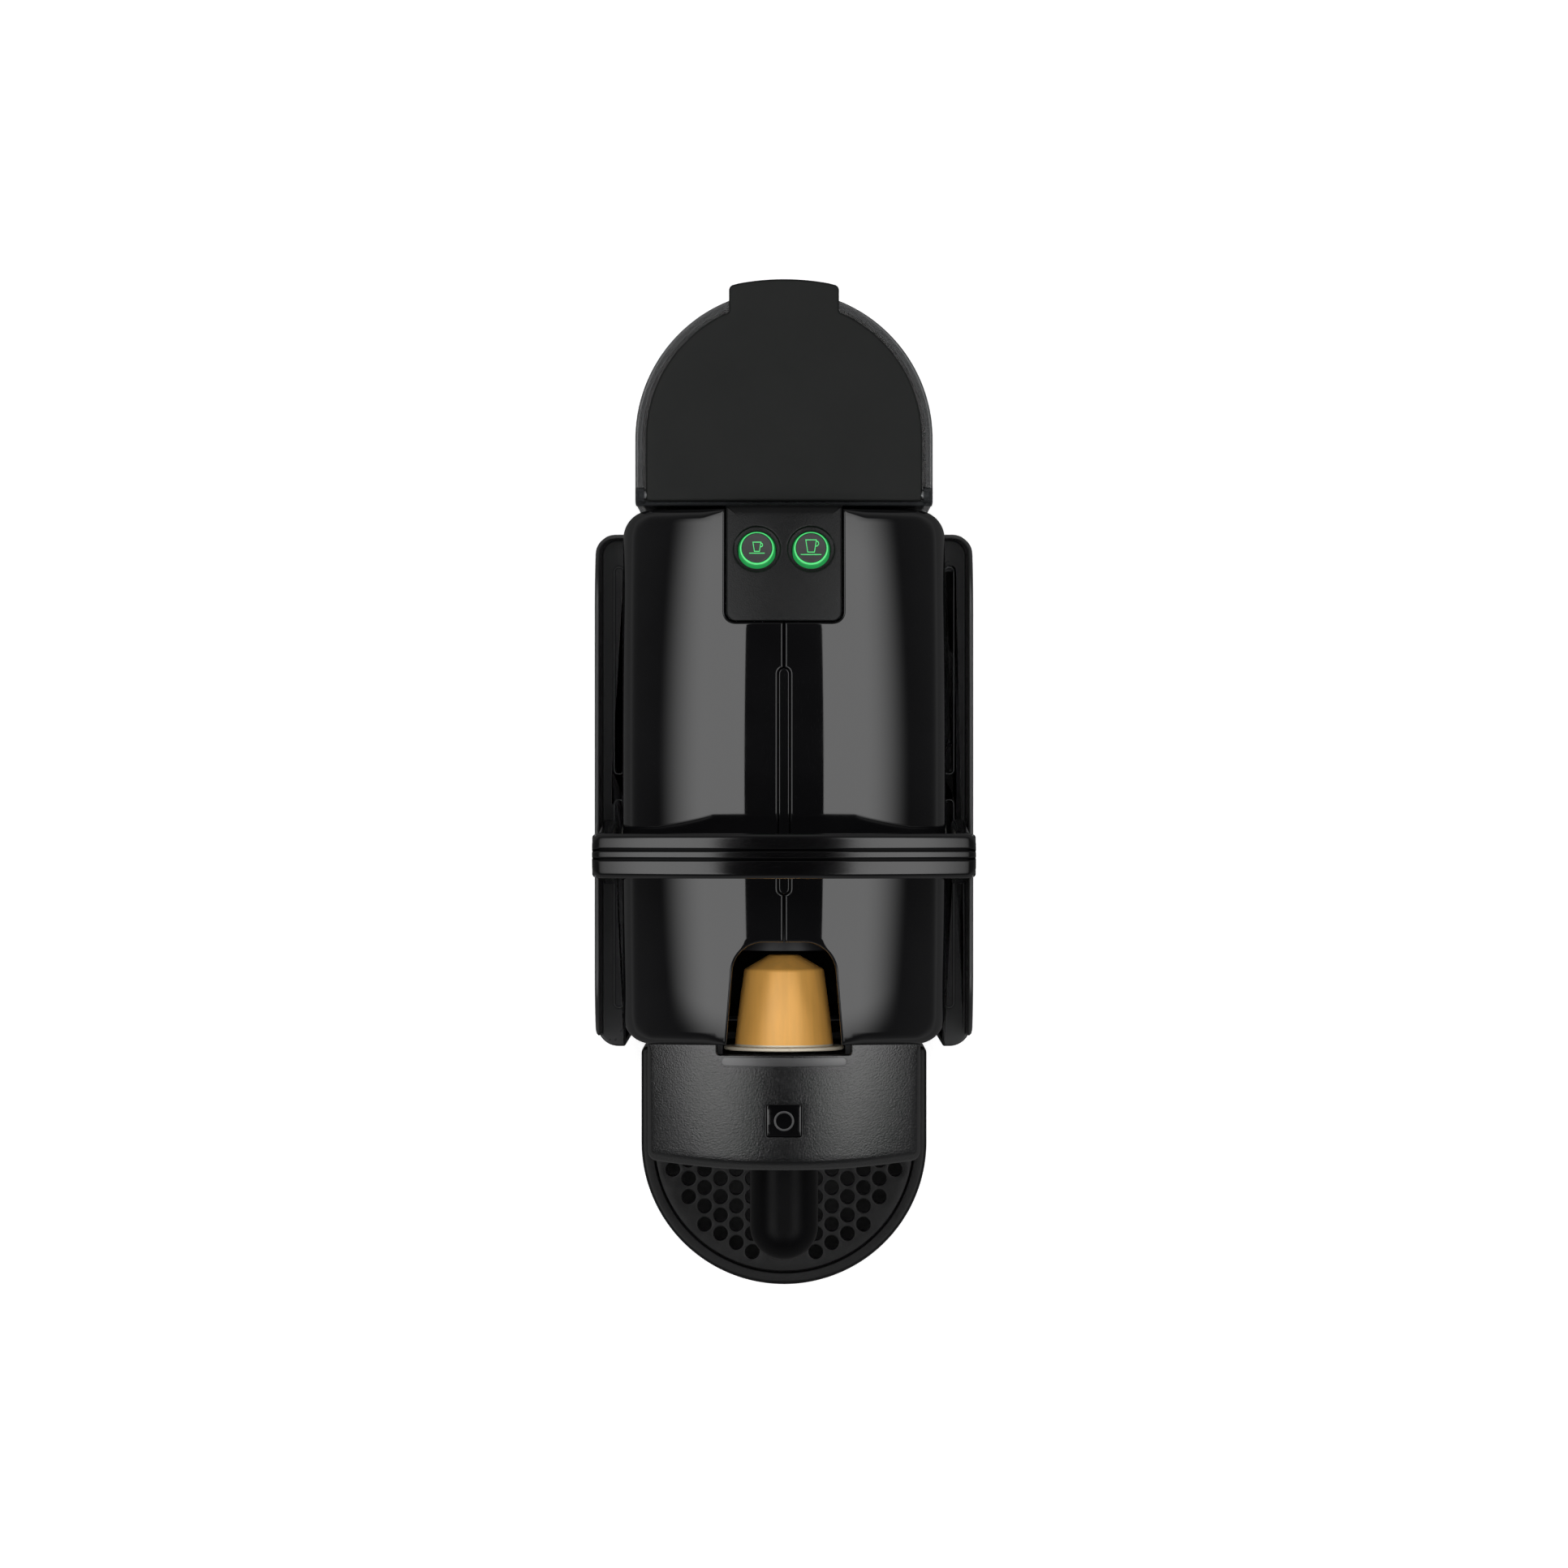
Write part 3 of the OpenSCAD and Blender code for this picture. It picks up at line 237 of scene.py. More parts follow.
def cut_boxes(obj, boxes, cylinders):
    """Cuts boxes (x0, x1, y0, y1, z0, z1) and cylinders along X or Y out of a piece, and shades it again."""
    cutter = bmesh.new()
    for box in boxes:
        add_box(cutter, *box)
    for axis, r, c, length in cylinders:
        turn = Matrix.Rotation(math.pi / 2, 4, "Y" if axis == "X" else "X")
        bmesh.ops.create_cone(cutter, cap_ends=True, segments=48, radius1=r, radius2=r, depth=length,
                              matrix=Matrix.Translation(c) @ turn)
    bmesh.ops.scale(cutter, vec=(MM, MM, MM), verts=cutter.verts)
    mesh = bpy.data.meshes.new("cutter")
    cutter.to_mesh(mesh)
    cutter.free()
    tool = placed("cutter", mesh)
    modifier = obj.modifiers.new("cut", "BOOLEAN")
    modifier.operation = "DIFFERENCE"
    modifier.solver = "EXACT"
    modifier.object = tool
    bpy.context.view_layer.update()
    graph = bpy.context.evaluated_depsgraph_get()
    result = bpy.data.meshes.new_from_object(obj.evaluated_get(graph))
    obj.modifiers.clear()
    old = obj.data
    obj.data = result
    result.name = old.name
    bpy.data.meshes.remove(old)
    bpy.data.objects.remove(tool)
    bm = bmesh.new()
    bm.from_mesh(result)
    bmesh.ops.remove_doubles(bm, verts=bm.verts, dist=1e-7)
    shade(bm)
    bm.to_mesh(result)
    bm.free()


def arc(cx, cy, r, a0, a1, n):
    """n + 1 points of an arc, its angles in degrees."""
    turns = [math.radians(a0 + (a1 - a0) * i / n) for i in range(n + 1)]
    return [(cx + r * math.cos(t), cy + r * math.sin(t)) for t in turns]


def rounded(x0, x1, y0, y1, r, n=8):
    """Counter-clockwise rounded rectangle."""
    return (arc(x1 - r, y0 + r, r, -90, 0, n) + arc(x1 - r, y1 - r, r, 0, 90, n)
            + arc(x0 + r, y1 - r, r, 90, 180, n) + arc(x0 + r, y0 + r, r, 180, 270, n))


def resample(loop, step):
    """Adds points so that no stretch of a closed loop is longer than step."""
    out = []
    for a, b in zip(loop, loop[1:] + loop[:1]):
        length = math.dist(a[:2], b[:2])
        if length < 1e-6:
            continue
        parts = max(1, math.ceil(length / step))
        for i in range(parts):
            t = i / parts
            out.append((a[0] + (b[0] - a[0]) * t, a[1] + (b[1] - a[1]) * t, *a[2:]))
    return out


def mitres(loop):
    """Directions into the material on the left of a loop, lengthened at corners."""
    points = np.array([p[:2] for p in loop])
    ahead = np.roll(points, -1, 0) - points
    ahead /= np.linalg.norm(ahead, axis=1)[:, None]
    left = np.stack([-ahead[:, 1], ahead[:, 0]], 1)
    both = left + np.roll(left, 1, 0)
    return both * (2 / np.maximum((both ** 2).sum(1), 1.0))[:, None]


def inside(points, loops):
    """Even-odd test of points against loops."""
    x, y = points[:, 0], points[:, 1]
    odd = np.zeros(len(points), bool)
    for loop in loops:
        for (x0, y0), (x1, y1) in zip(loop, np.roll(loop, -1, 0)):
            if y0 != y1:
                odd ^= ((y0 > y) != (y1 > y)) & (x < x0 + (y - y0) * (x1 - x0) / (y1 - y0))
    return odd


def fill(bm, rings, height, step, flip=False):
    """Fills the area between closed rings of bmesh vertices with a fine triangle grid at height(x, y)."""
    loops = [np.array([v.co.xy for v in ring]) for ring in rings]
    flat = np.concatenate(loops)
    lo, hi = flat.min(0), flat.max(0)
    xs = np.arange(lo[0] + step / 2, hi[0], step)
    ys = np.arange(lo[1] + step / 2, hi[1], step)
    grid = np.array([(x, y) for y in ys for x in xs]).reshape(-1, 2)
    if len(grid):
        grid = grid[inside(grid, loops)]
    tree = KDTree(len(flat))
    for i, p in enumerate(flat):
        tree.insert((p[0], p[1], 0), i)
    tree.balance()
    grid = [p for p in grid if tree.find((p[0], p[1], 0))[2] > 0.62 * step]
    constraint, start = [], 0
    for loop in loops:
        n = len(loop)
        constraint += [(start + i, start + (i + 1) % n) for i in range(n)]
        start += n
    coords = [Vector(p) for p in flat] + [Vector(p) for p in grid]
    out, _, faces, origin, _, _ = delaunay_2d_cdt(coords, constraint, [], 1, 1e-7)
    known = [v for ring in rings for v in ring]
    verts = []
    for p, source in zip(out, origin):
        ring_source = [s for s in source if s < len(known)]
        if ring_source:
            verts.append(known[ring_source[0]])
        else:
            verts.append(bm.verts.new((p.x, p.y, height(p.x, p.y))))
    centres = np.array([[sum(out[i][k] for i in f) / 3 for k in (0, 1)] for f in faces])
    keep = inside(centres, loops)
    for f, ok in zip(faces, keep):
        if ok and len({verts[i] for i in f}) == 3:
            order = [verts[i] for i in f]
            try:
                bm.faces.new(order[::-1] if flip else order)
            except ValueError:
                pass


def bridge(bm, a, b):
    """Joins two closed rings of vertices with four-sided faces."""
    for i in range(len(a)):
        j = (i + 1) % len(a)
        bm.faces.new((a[i], a[j], b[j], b[i]))


def side_prism(bm, outline, side, x0, x1):
    """Solid with a (y, z) outline between two planes across X."""
    first, last = [[bm.verts.new((side * x, y, z)) for y, z in outline] for x in (x0, x1)]
    bridge(bm, first, last)
    bm.faces.new(first[::-1])
    bm.faces.new(last)


def skin(bm, loops, top, under, step, under_step=4.0, rounds=6):
    """Closed solid under a curved top.

    Each loop is (points, width, depth, column): points may be (x, y) with the outer loop
    counter-clockwise and holes clockwise; width(i) and depth(i) give the rolled edge, and column(i)
    the points that lead from the edge down to the underside.
    """
    top_rings, under_rings = [], []
    for points, width, depth, column in loops:
        inward = mitres(points)
        rings = []
        for k in range(rounds + 1):
            a = math.pi / 2 * k / rounds
            ring = []
            for i, p in enumerate(points):
                x = p[0] + inward[i][0] * width(i) * (1 - math.cos(a))
                y = p[1] + inward[i][1] * width(i) * (1 - math.cos(a))
                ring.append(bm.verts.new((x, y, top(x, y) - depth(i) * (1 - math.sin(a)))))
            rings.append(ring)
        count = len(points)
        for lower, upper in zip(rings, rings[1:]):
            bridge(bm, lower, upper)
        columns = [[rings[0][i]] + [bm.verts.new(q) for q in column(i)] for i in range(count)]
        for i in range(count):
            a, b = columns[i], columns[(i + 1) % count]
            if len(a) == len(b):
                for k in range(len(a) - 1):
                    bm.faces.new((a[k], a[k + 1], b[k + 1], b[k]))
            else:
                bm.faces.new(a + b[::-1])
        top_rings.append(rings[-1])
        under_rings.append([c[-1] for c in columns])
    fill(bm, top_rings, top, step)
    fill(bm, under_rings, under, under_step, flip=True)


def sweep(bm, loop, profile):
    """Carries a profile of (inset, height) points round a counter-clockwise loop and closes both ends."""
    inward = mitres(loop)
    rings = [[bm.verts.new((p[0] + m[0] * o, p[1] + m[1] * o, z)) for p, m in zip(loop, inward)]
             for o, z in profile]
    for a, b in zip(rings, rings[1:]):
        bridge(bm, a, b)
    bm.faces.new(rings[0][::-1])
    bm.faces.new(rings[-1])


def lathe(bm, profile, turns, matrix, material=None):
    """Turns a profile of (radius, height) points about Z, then places it."""
    rings = []
    for r, z in profile:
        if r < 1e-6:
            rings.append([bm.verts.new(matrix @ Vector((0, 0, z)))])
        else:
            circle = [(r * math.cos(TAU * i / turns), r * math.sin(TAU * i / turns)) for i in range(turns)]
            rings.append([bm.verts.new(matrix @ Vector((x, y, z))) for x, y in circle])
    for k, (a, b) in enumerate(zip(rings, rings[1:])):
        for i in range(turns):
            j = (i + 1) % turns
            if len(a) == 1:
                face = bm.faces.new((a[0], b[j], b[i]))
            elif len(b) == 1:
                face = bm.faces.new((a[i], a[j], b[0]))
            else:
                face = bm.faces.new((a[i], a[j], b[j], b[i]))
            if material:
                face.material_index = material(k)


def corner(r_out, z_out, size, n):
    """Rounded corner of a profile that turns from going up to going inwards."""
    turns = [math.pi / 2 * i / n for i in range(n + 1)]
    return [(r_out + size * (1 - math.cos(a)), z_out - size * (1 - math.sin(a))) for a in turns]


# ---------------------------------------------------------------- sizes from the frame

SIDE = edges("base_plate")[3]
FRONT = edges("right_shell")[1]
REAR = edges("right_shell")[4]
TOP = edges("right_shell")[5]
BASE_TOP = edges("right_shell")[2]
MID = (FRONT + REAR) / 2
ARCH_R, CROWN_R, SHOULDER_R, CORNER_R, WALL = 300.0, 95.0, 8.0, 8.6, 2.2
DRAWER_TOP = 101.0
SLOT_LOW, SLOT_HIGH = 150.0, 213.0
SEAM = edges("right_shell")[0]
PANEL = edges("button_panel")
INSERT = edges("seam_insert")
CAPSULE = edges("capsule")


def block_top(x, y, inset=0.0):
    """Height of the arched and crowned housing."""
    r, s, w = CROWN_R - inset, SHOULDER_R - inset, SIDE - inset
    off = math.sqrt((r - s) ** 2 - (w - s) ** 2)
    ax = abs(x)
    if ax < (w - s) * r / (r - s):
        rho = math.sqrt(r * r - ax * ax)
    else:
        rho = off + math.sqrt(max(0.0, s * s - (ax - w + s) ** 2))
    rho += ARCH_R - CROWN_R
    return TOP - ARCH_R + math.sqrt(rho * rho - (y - MID) ** 2)


# ---------------------------------------------------------------- housing halves

def housing_half(side):
    slot_end = CAPSULE[4] + 4.5
    slot_r, slot_x = 9.6, 6.1
    slot_wide, slot_low = 17.9, FRONT - 5
    t = (slot_end - slot_r - FRONT) / (slot_end - slot_r - slot_low)
    slot_front_x = slot_x + slot_r + t * (slot_wide - slot_x - slot_r)
    recess_x = PANEL[3] + 0.3
    recess_y = PANEL[1] - 0.3
    recess_r, cut_edge, ease_length = 3.3, 0.75, 7
    pill_r = 1.85
    pill0, pill1 = INSERT[1] - 0.2 + pill_r, INSERT[4] + 0.2 - pill_r
    lip = math.degrees(math.asin(SEAM / pill_r))
    outside = [(slot_front_x, FRONT, 0)] + [(*p, 0) for p in
               arc(SIDE - CORNER_R, FRONT + CORNER_R, CORNER_R, -90, 0, 14)
               + arc(SIDE - CORNER_R, REAR - CORNER_R, CORNER_R, 0, 90, 14)] + [(recess_x, REAR, 1)]
    cut = [(*p, 1) for p in arc(recess_x - recess_r, recess_y + recess_r, recess_r, 0, -90, 8)]
    cut += [(SEAM, recess_y, 1)]
    cut += [(*p, 1) for p in arc(0, pill1, pill_r, 90 - lip, 0, 6)]
    cut += [(*p, 1) for p in arc(0, pill0, pill_r, 0, lip - 90, 6)]
    cut += [(SEAM, slot_end, 1)]
    cut += [(*p, 1) for p in arc(slot_x, slot_end - slot_r, slot_r, 90, 0, 14)]
    loop = resample(outside + cut, 1.3)
    start = loop.index(next(p for p in loop if p[:2] == (slot_front_x, FRONT)))
    loop = loop[start:] + loop[:start]
    points = [p[:2] for p in loop]
    inward = mitres(points)
    cut_flags = [p[2] for p in loop]
    cut_flags[0] = 1
    ends = ((slot_front_x, FRONT), (recess_x, REAR))
    along = lambda p: min(1.0, *(math.dist(p, end) / ease_length for end in ends))
    width, depth, columns = [], [], []
    for i, p in enumerate(points):
        if cut_flags[i]:
            width.append(cut_edge)
            depth.append(cut_edge)
            columns.append([(p[0], p[1], block_top(p[0], p[1], WALL) if p[0] < SIDE - WALL else TOP - 40)])
            continue
        n = Vector(inward[i]).normalized()
        ease = along(p)
        width.append(cut_edge + ease * (2.3 + 1.9 * abs(n.x)))
        depth.append(cut_edge + ease * 2.0 * abs(n.y))
        inner = Vector(p) + n * WALL * max(ease, 0.15)
        z_in = block_top(min(inner.x, SIDE - WALL), inner.y, WALL) - 0.2
        z_out = block_top(*p) - depth[i]
        low = BASE_TOP + 0.05
        rows = [z_out - 6, z_out - 40, DRAWER_TOP, 40.0, low]
        columns.append([(p[0], p[1], z) for z in rows]
                       + [(inner.x, inner.y, z) for z in (low, DRAWER_TOP, z_in)])
    bm = bmesh.new()
    skin(bm, [(points, lambda i: width[i], lambda i: depth[i], lambda i: columns[i])],
         block_top, lambda x, y: block_top(x, y, WALL), 1.3, rounds=10)
    if side < 0:
        bmesh.ops.scale(bm, vec=(-1, 1, 1), verts=bm.verts)
        bmesh.ops.reverse_faces(bm, faces=bm.faces)
    name = "right_shell" if side > 0 else "left_shell"
    obj = finish_mesh(bm, "housing_" + name, "housing_gloss", "machine", [name])
    carrier = edges("drip_carrier")
    x0, x1 = sorted((side * -1, side * (carrier[3] + 1.4)))
    rim0, rim1 = sorted((side * -1, side * (CAPSULE[3] + 2.1)))
    front0, front1 = FRONT - 1, FRONT + WALL + 1
    bush_hole = ("X", 8, (side * (SIDE - 1), *axis_of("pivot_bushes")), 8)
    rear_hole = ("Y", 3.5, (0, REAR - 1, BASE_TOP + 4), 8)
    cut_boxes(obj, [(x0, x1, front0, front1, 0, DRAWER_TOP), (rim0, rim1, front0, front1, SLOT_LOW,
                                                              SLOT_HIGH)],
              [bush_hole, rear_hole])


for half in (1, -1):
    housing_half(half)


def roll(points, width, depth, column):
    """One loop of a skin with the same rolled edge all round."""
    return (points, lambda i: width, lambda i: depth, column)


def plate(name, loop, top, thick, edge, slot, body, replaces=(), step=2.0, holes=(), rounds=4,
          material=None):
    """Slab of even thickness with rolled upper edges; holes are clockwise loops."""
    bm = bmesh.new()

    def column(points):
        return lambda i: [(*points[i], top(*points[i]) - thick)]

    loops = [roll(points, edge, edge, column(points)) for points in (loop, *holes)]
    skin(bm, loops, top, lambda x, y: top(x, y) - thick, step, step * 1.6, rounds=rounds)
    obj = finish_mesh(bm, name, slot, body, replaces)
    if material:
        obj.data.materials[0] = material
    return obj


def seam_strip():
    r = (INSERT[3] - INSERT[0]) / 2
    loop = resample(arc(0, INSERT[4] - r, r, 0, 180, 12) + arc(0, INSERT[1] + r, r, 180, 360, 12), 1.2)
    plate("seam_strip", loop, lambda x, y: block_top(x, y) - 0.35, 1.8, 0.4, "housing_gloss", "machine",
          ["seam_insert"], step=1.2)


# ---------------------------------------------------------------- front cover, label, badge and spout

COVER = edges("front_cover")
BOW_R, COVER_ARC_R, COVER_CROWN_R = 300.0, 450.0, 100.0
COVER_DROP, COVER_SLOPE = 16.5, 0.165


def cover_top(x, y):
    """Gently falling surface, crowned like the housing, that follows the bowed front edge."""
    d = max(0.0, FRONT - y + x * x / (2 * BOW_R))
    fall = math.sqrt(COVER_ARC_R ** 2 * (1 - COVER_SLOPE ** 2)) - math.sqrt(
        COVER_ARC_R ** 2 - (d + COVER_ARC_R * COVER_SLOPE) ** 2)
    return TOP - COVER_DROP - fall - x * x / (2 * COVER_CROWN_R)


def front_cover():
    half, r = COVER[3], 2.8
    head = edges("brew_head")
    notch_x, notch_y = head[3] - 2.9, FRONT - 3.3
    front_y = lambda x: COVER[1] + x * x / (2 * BOW_R)
    rim = [(x, front_y(x)) for x in np.linspace(-half + r, half - r, 60)]
    corner_y = front_y(half - r) + r
    loop = rim + arc(half - r, corner_y, r, -84, 0, 8) + [(half, FRONT), (notch_x, FRONT)]
    loop += arc(notch_x - 1, notch_y + 1, 1, 0, -90, 4) + arc(1 - notch_x, notch_y + 1, 1, -90, -180, 4)
    loop += [(-notch_x, FRONT), (-half, FRONT)] + arc(r - half, corner_y, r, 180, 264, 8)
    loop = resample(loop, 1.3)
    inward = mitres(loop)
    is_rear = [p[1] > FRONT - 3.4 and (abs(p[0]) < half - 0.01 or p[1] > FRONT - 0.01) for p in loop]
    width, depth, columns = [], [], []
    for i, p in enumerate(loop):
        if is_rear[i]:
            width.append(0.35)
            depth.append(0.35)
            columns.append([(p[0], p[1], cover_top(*p) - WALL)])
            continue
        facing = max(0.0, Vector(inward[i]).normalized().y)
        ease = min(1.0, (FRONT - p[1]) / 3 + 0.2)
        width.append((1.3 + 1.9 * facing) * ease)
        depth.append((1.3 + 1.9 * facing) * ease)
        inner = Vector(p) + Vector(inward[i]) * WALL
        z_in = cover_top(inner.x, inner.y) - WALL * 1.05
        z_out = cover_top(*p) - depth[i]
        rows = [(p[0], p[1], z) for z in (z_out - 5, COVER[2] + 1.0)]
        rows += [(p[0] + inward[i][0] * 0.4, p[1] + inward[i][1] * 0.4, COVER[2])]
        columns.append(rows + [(inner.x, inner.y, COVER[2]), (inner.x, inner.y, min(z_in, z_out - 1))])
    badge_box, badge_gap, badge_r = edges("badge"), 0.1, 0.5
    half_badge = badge_box[3] + badge_gap
    by = (badge_box[1] + badge_box[4]) / 2
    half_y = (badge_box[4] - badge_box[1]) / 2 + badge_gap
    hole = resample(rounded(-half_badge, half_badge, by - half_y, by + half_y, badge_r, 3), 1.3)[::-1]
    bm = bmesh.new()
    skin(bm, [(loop, lambda i: width[i], lambda i: depth[i], lambda i: columns[i]),
              roll(hole, 0.25, 0.25, lambda i: [(*hole[i], cover_top(*hole[i]) - WALL)])],
         cover_top, lambda x, y: cover_top(x, y) - WALL, 1.3, rounds=8)
    finish_mesh(bm, "front_cover_skin", "cover_texture", "machine", ["front_cover"])
    # plain plate in the place of the printed label
    label_x, label_front, label_rear, label_r = 19.1, 6.7, 4.0, 1.34
    label = resample(rounded(-label_x, label_x, FRONT - label_front, FRONT - label_rear, label_r, 8), 1.2)
    plate("cover_label", label, lambda x, y: cover_top(x, y) + 0.12, 0.5, 0.12, "badge_gloss", "machine",
          step=1.2,
          material=PALE_MARK)
    # square badge with a plain ring on it
    square = resample(rounded(-half_badge + badge_gap, half_badge - badge_gap, by - half_y + badge_gap,
                              by + half_y - badge_gap, badge_r, 3), 1.2)
    sunk = lambda x, y: cover_top(x, y) - 0.25
    plate("badge_plate", square, sunk, 1.2, 0.25, "badge_gloss", "machine", ["badge"], step=1.2)
    ring_out, ring_in, ring_end = 3.1, 2.45, 352
    ring = resample(arc(0, by, ring_out, 0, ring_end, 44), 1.0)
    ring_hole = arc(0, by, ring_in, ring_end, 0, 44)
    plate("badge_ring", ring, lambda x, y: sunk(x, y) + 0.2, 0.6, 0.15, "badge_gloss", "machine", step=0.6,
          holes=[ring_hole], material=PALE_MARK)


def spout():
    _, y0, z0, x1, y1, _ = edges("spout")
    z1 = COVER[2]
    nose_r, plate_x = 10.7, 38
    r = min(x1, nose_r)
    cy = y0 + r
    loop = resample(arc(0, cy, r, 180, 360, 48) + [(r, y1 - 8), (-r, y1 - 8)], 1.4)
    inward = mitres(loop)
    domed, deep, low = 9.4, 9.0, 1.0

    def column(i):
        x, y = loop[i]
        m = inward[i]
        rows = [(x, y, z0 + low)]
        rows += [(x + m[0] * low * (1 - math.cos(a)), y + m[1] * low * (1 - math.cos(a)),
                  z0 + low - low * math.sin(a))
                 for a in (0.4, 0.8, 1.2, math.pi / 2)]
        return rows + [(x + m[0] * 2.2, y + m[1] * 2.2, z0), (x + m[0] * 2.2, y + m[1] * 2.2, z0 + 5.5)]

    bm = bmesh.new()
    skin(bm, [roll(loop, domed, deep, column)], lambda x, y: z1, lambda x, y: z0 + 5.5, 2.0, rounds=18)
    # neck and the plate inside the cover
    add_box(bm, -r, r, COVER[1] + 6, FRONT - 16, z1 - 1.2, z1 + 0.6)
    add_box(bm, -plate_x, plate_x, COVER[1] + 7, FRONT - 0.5, z1, z1 + 1.6)
    finish_mesh(bm, "coffee_spout", "spout_satin", "machine", ["spout"])


# ---------------------------------------------------------------- buttons

BUTTON_X = 8.2
BUTTON_Y = REAR - 12.3
TILT = math.asin((BUTTON_Y - MID) / ARCH_R)
WELL_R, RING_R, CAP_R, CAP_SHIFT = 7.1, 5.6, 4.65, 0.42


def on_top(x):
    return Matrix.Translation((x, BUTTON_Y, block_top(x, BUTTON_Y))) @ Matrix.Rotation(-TILT, 4, "X")


def button_panel():
    x1, y0, y1 = PANEL[3], PANEL[1], PANEL[4]
    front = arc(-x1 + 3, y0 + 3, 3, 180, 270, 8) + arc(x1 - 3, y0 + 3, 3, -90, 0, 8)
    loop = resample(front + [(x1, y1), (-x1, y1)], 1.1)
    top = lambda x, y: block_top(x, y - 1.2)
    low = PANEL[2] + 0.2
    rear = [p[1] > y1 - 0.01 for p in loop]
    width = [3.0 if r else 0.7 for r in rear]

    def column(i):
        x, y = loop[i]
        z = top(x, y) - width[i]
        if rear[i]:
            return [(x, y, (z + low) / 2), (x, y, low), (x, y - WALL, low),
                    (x, y - WALL, top(x, y - 4) - WALL - 0.6)]
        return [(x, y, top(x, y) - WALL)]

    loops = [(loop, lambda i: width[i], lambda i: width[i], column)]
    for side in (-1, 1):
        place = on_top(side * BUTTON_X)
        inner = place.inverted()
        rim = [tuple((place @ Vector((WELL_R * math.cos(a), WELL_R * math.sin(a), 0))).xy)
               for a in np.linspace(TAU, 0, 57)[:-1]]

        def down(i, rim=rim, place=place, inner=inner):
            q = inner @ Vector((*rim[i], top(*rim[i])))
            a = math.atan2(q.y, q.x)
            at = lambda r, z: tuple(place @ Vector((r * math.cos(a), r * math.sin(a), z)))
            return [at(WELL_R - 0.02, -0.95), at(WELL_R - 0.3, -1.15), at(5.95, -1.15), at(5.9, -1.35),
                    at(5.9, -3.6)]
        loops.append((rim, lambda i: 0.55, lambda i: 0.4, down))
    bm = bmesh.new()
    skin(bm, loops, top, lambda x, y: top(x, y) - WALL, 1.1, rounds=6)
    finish_mesh(bm, "button_panel_skin", "panel_texture", "machine", ["button_panel"])


def stroke(bm, points, width, z, closed=False):
    """Raised line of even width along points in the plane."""
    n = len(points)
    sides = []
    for i, p in enumerate(points):
        a = points[i - 1] if (i or closed) else p
        b = points[(i + 1) % n] if (i < n - 1 or closed) else p
        before = (Vector(p) - Vector(a)).normalized() if a != p else (Vector(b) - Vector(p)).normalized()
        after = (Vector(b) - Vector(p)).normalized() if b != p else before
        m = Vector((-before.y - after.y, before.x + after.x))
        m *= width / max(m.length_squared, 0.9)
        sides.append((Vector(p) + m, Vector(p) - m))
    tops = [[bm.verts.new((*q, z)) for q in pair] for pair in sides]
    feet = [[bm.verts.new((*q, z - 0.3)) for q in pair] for pair in sides]
    for i in range(n if closed else n - 1):
        j = (i + 1) % n
        bm.faces.new((tops[i][0], tops[i][1], tops[j][1], tops[j][0]))
        bm.faces.new((feet[i][1], feet[i][0], feet[j][0], feet[j][1]))
        bm.faces.new((tops[i][0], tops[j][0], feet[j][0], feet[i][0]))
        bm.faces.new((tops[i][1], feet[i][1], feet[j][1], tops[j][1]))
    if not closed:
        for i in (0, n - 1):
            bm.faces.new((tops[i][0], feet[i][0], feet[i][1], tops[i][1]))


def button(side, node, ring_node, body, scale):
    place = on_top(side * BUTTON_X)
    bm = bmesh.new()
    shift = Matrix.Translation((0, CAP_SHIFT, 0))
    dish = [(0, -0.42), (1.5, -0.41), (3.0, -0.36), (4.1, -0.27)] + [
        (CAP_R - 0.35 + 0.35 * math.sin(a), -0.6 + 0.35 * math.cos(a))
        for a in np.linspace(0.0, math.pi / 2, 6)]
    profile = dish + [(CAP_R, -4.4), (2.0, -4.6), (2.0, -8.5), (0, -8.5)]
    lathe(bm, profile, 80, place @ shift)
    finish_mesh(bm, node + "_cap", "button_face", body, [node])
    # lit ring, thicker towards the front because the cap sits back in it
    bm = bmesh.new()
    turns = 96
    inner_r = CAP_R + 0.06
    rings = []
    for t, z in ((0, -4.4), (0, -0.5), (0.12, -0.3), (0.45, -0.33), (0.62, -0.45), (0.9, -0.85), (1, -1.1),
                 (1, -4.4)):
        ring = []
        for i in range(turns):
            a = TAU * i / turns
            c, s = math.cos(a), math.sin(a)
            inside_r = CAP_SHIFT * s + math.sqrt(inner_r ** 2 - (CAP_SHIFT * c) ** 2)
            r = inside_r + t * (RING_R - inside_r)
            ring.append(bm.verts.new(place @ Vector((r * c, r * s, z))))
        rings.append(ring)
    for k in range(len(rings)):
        a, b = rings[k], rings[(k + 1) % len(rings)]
        for i in range(turns):
            j = (i + 1) % turns
            face = bm.faces.new((a[i], a[j], b[j], b[i]))
            face.material_index = 0 if k in (1, 2) else 1
    finish_mesh(bm, ring_node + "_light", "light_ring", body, [ring_node], [GREEN_DEEP], sharp=70)
    # cup and saucer in lines
    bm = bmesh.new()
    line = 0.21
    top_w, low_w, high, gap = 1.33 * scale, 0.85 * scale, 3.2 * scale, 0.65 * scale
    y0 = -0.8 * scale
    z = -0.16
    stroke(bm, [(-top_w, y0 + high), (-low_w, y0), (low_w, y0), (top_w, y0 + high)], line, z, closed=True)
    stroke(bm, [(-2.6 * scale, y0 - gap), (2.6 * scale, y0 - gap)], line, z)
    handle = arc(top_w * 0.93, y0 + high * 0.7, 0.68 * scale, 80, -95, 9)
    stroke(bm, handle, line, z)
    for v in bm.verts:
        v.co = place @ v.co
    finish_mesh(bm, node + "_icon", "light_ring", body)


# ---------------------------------------------------------------- lever

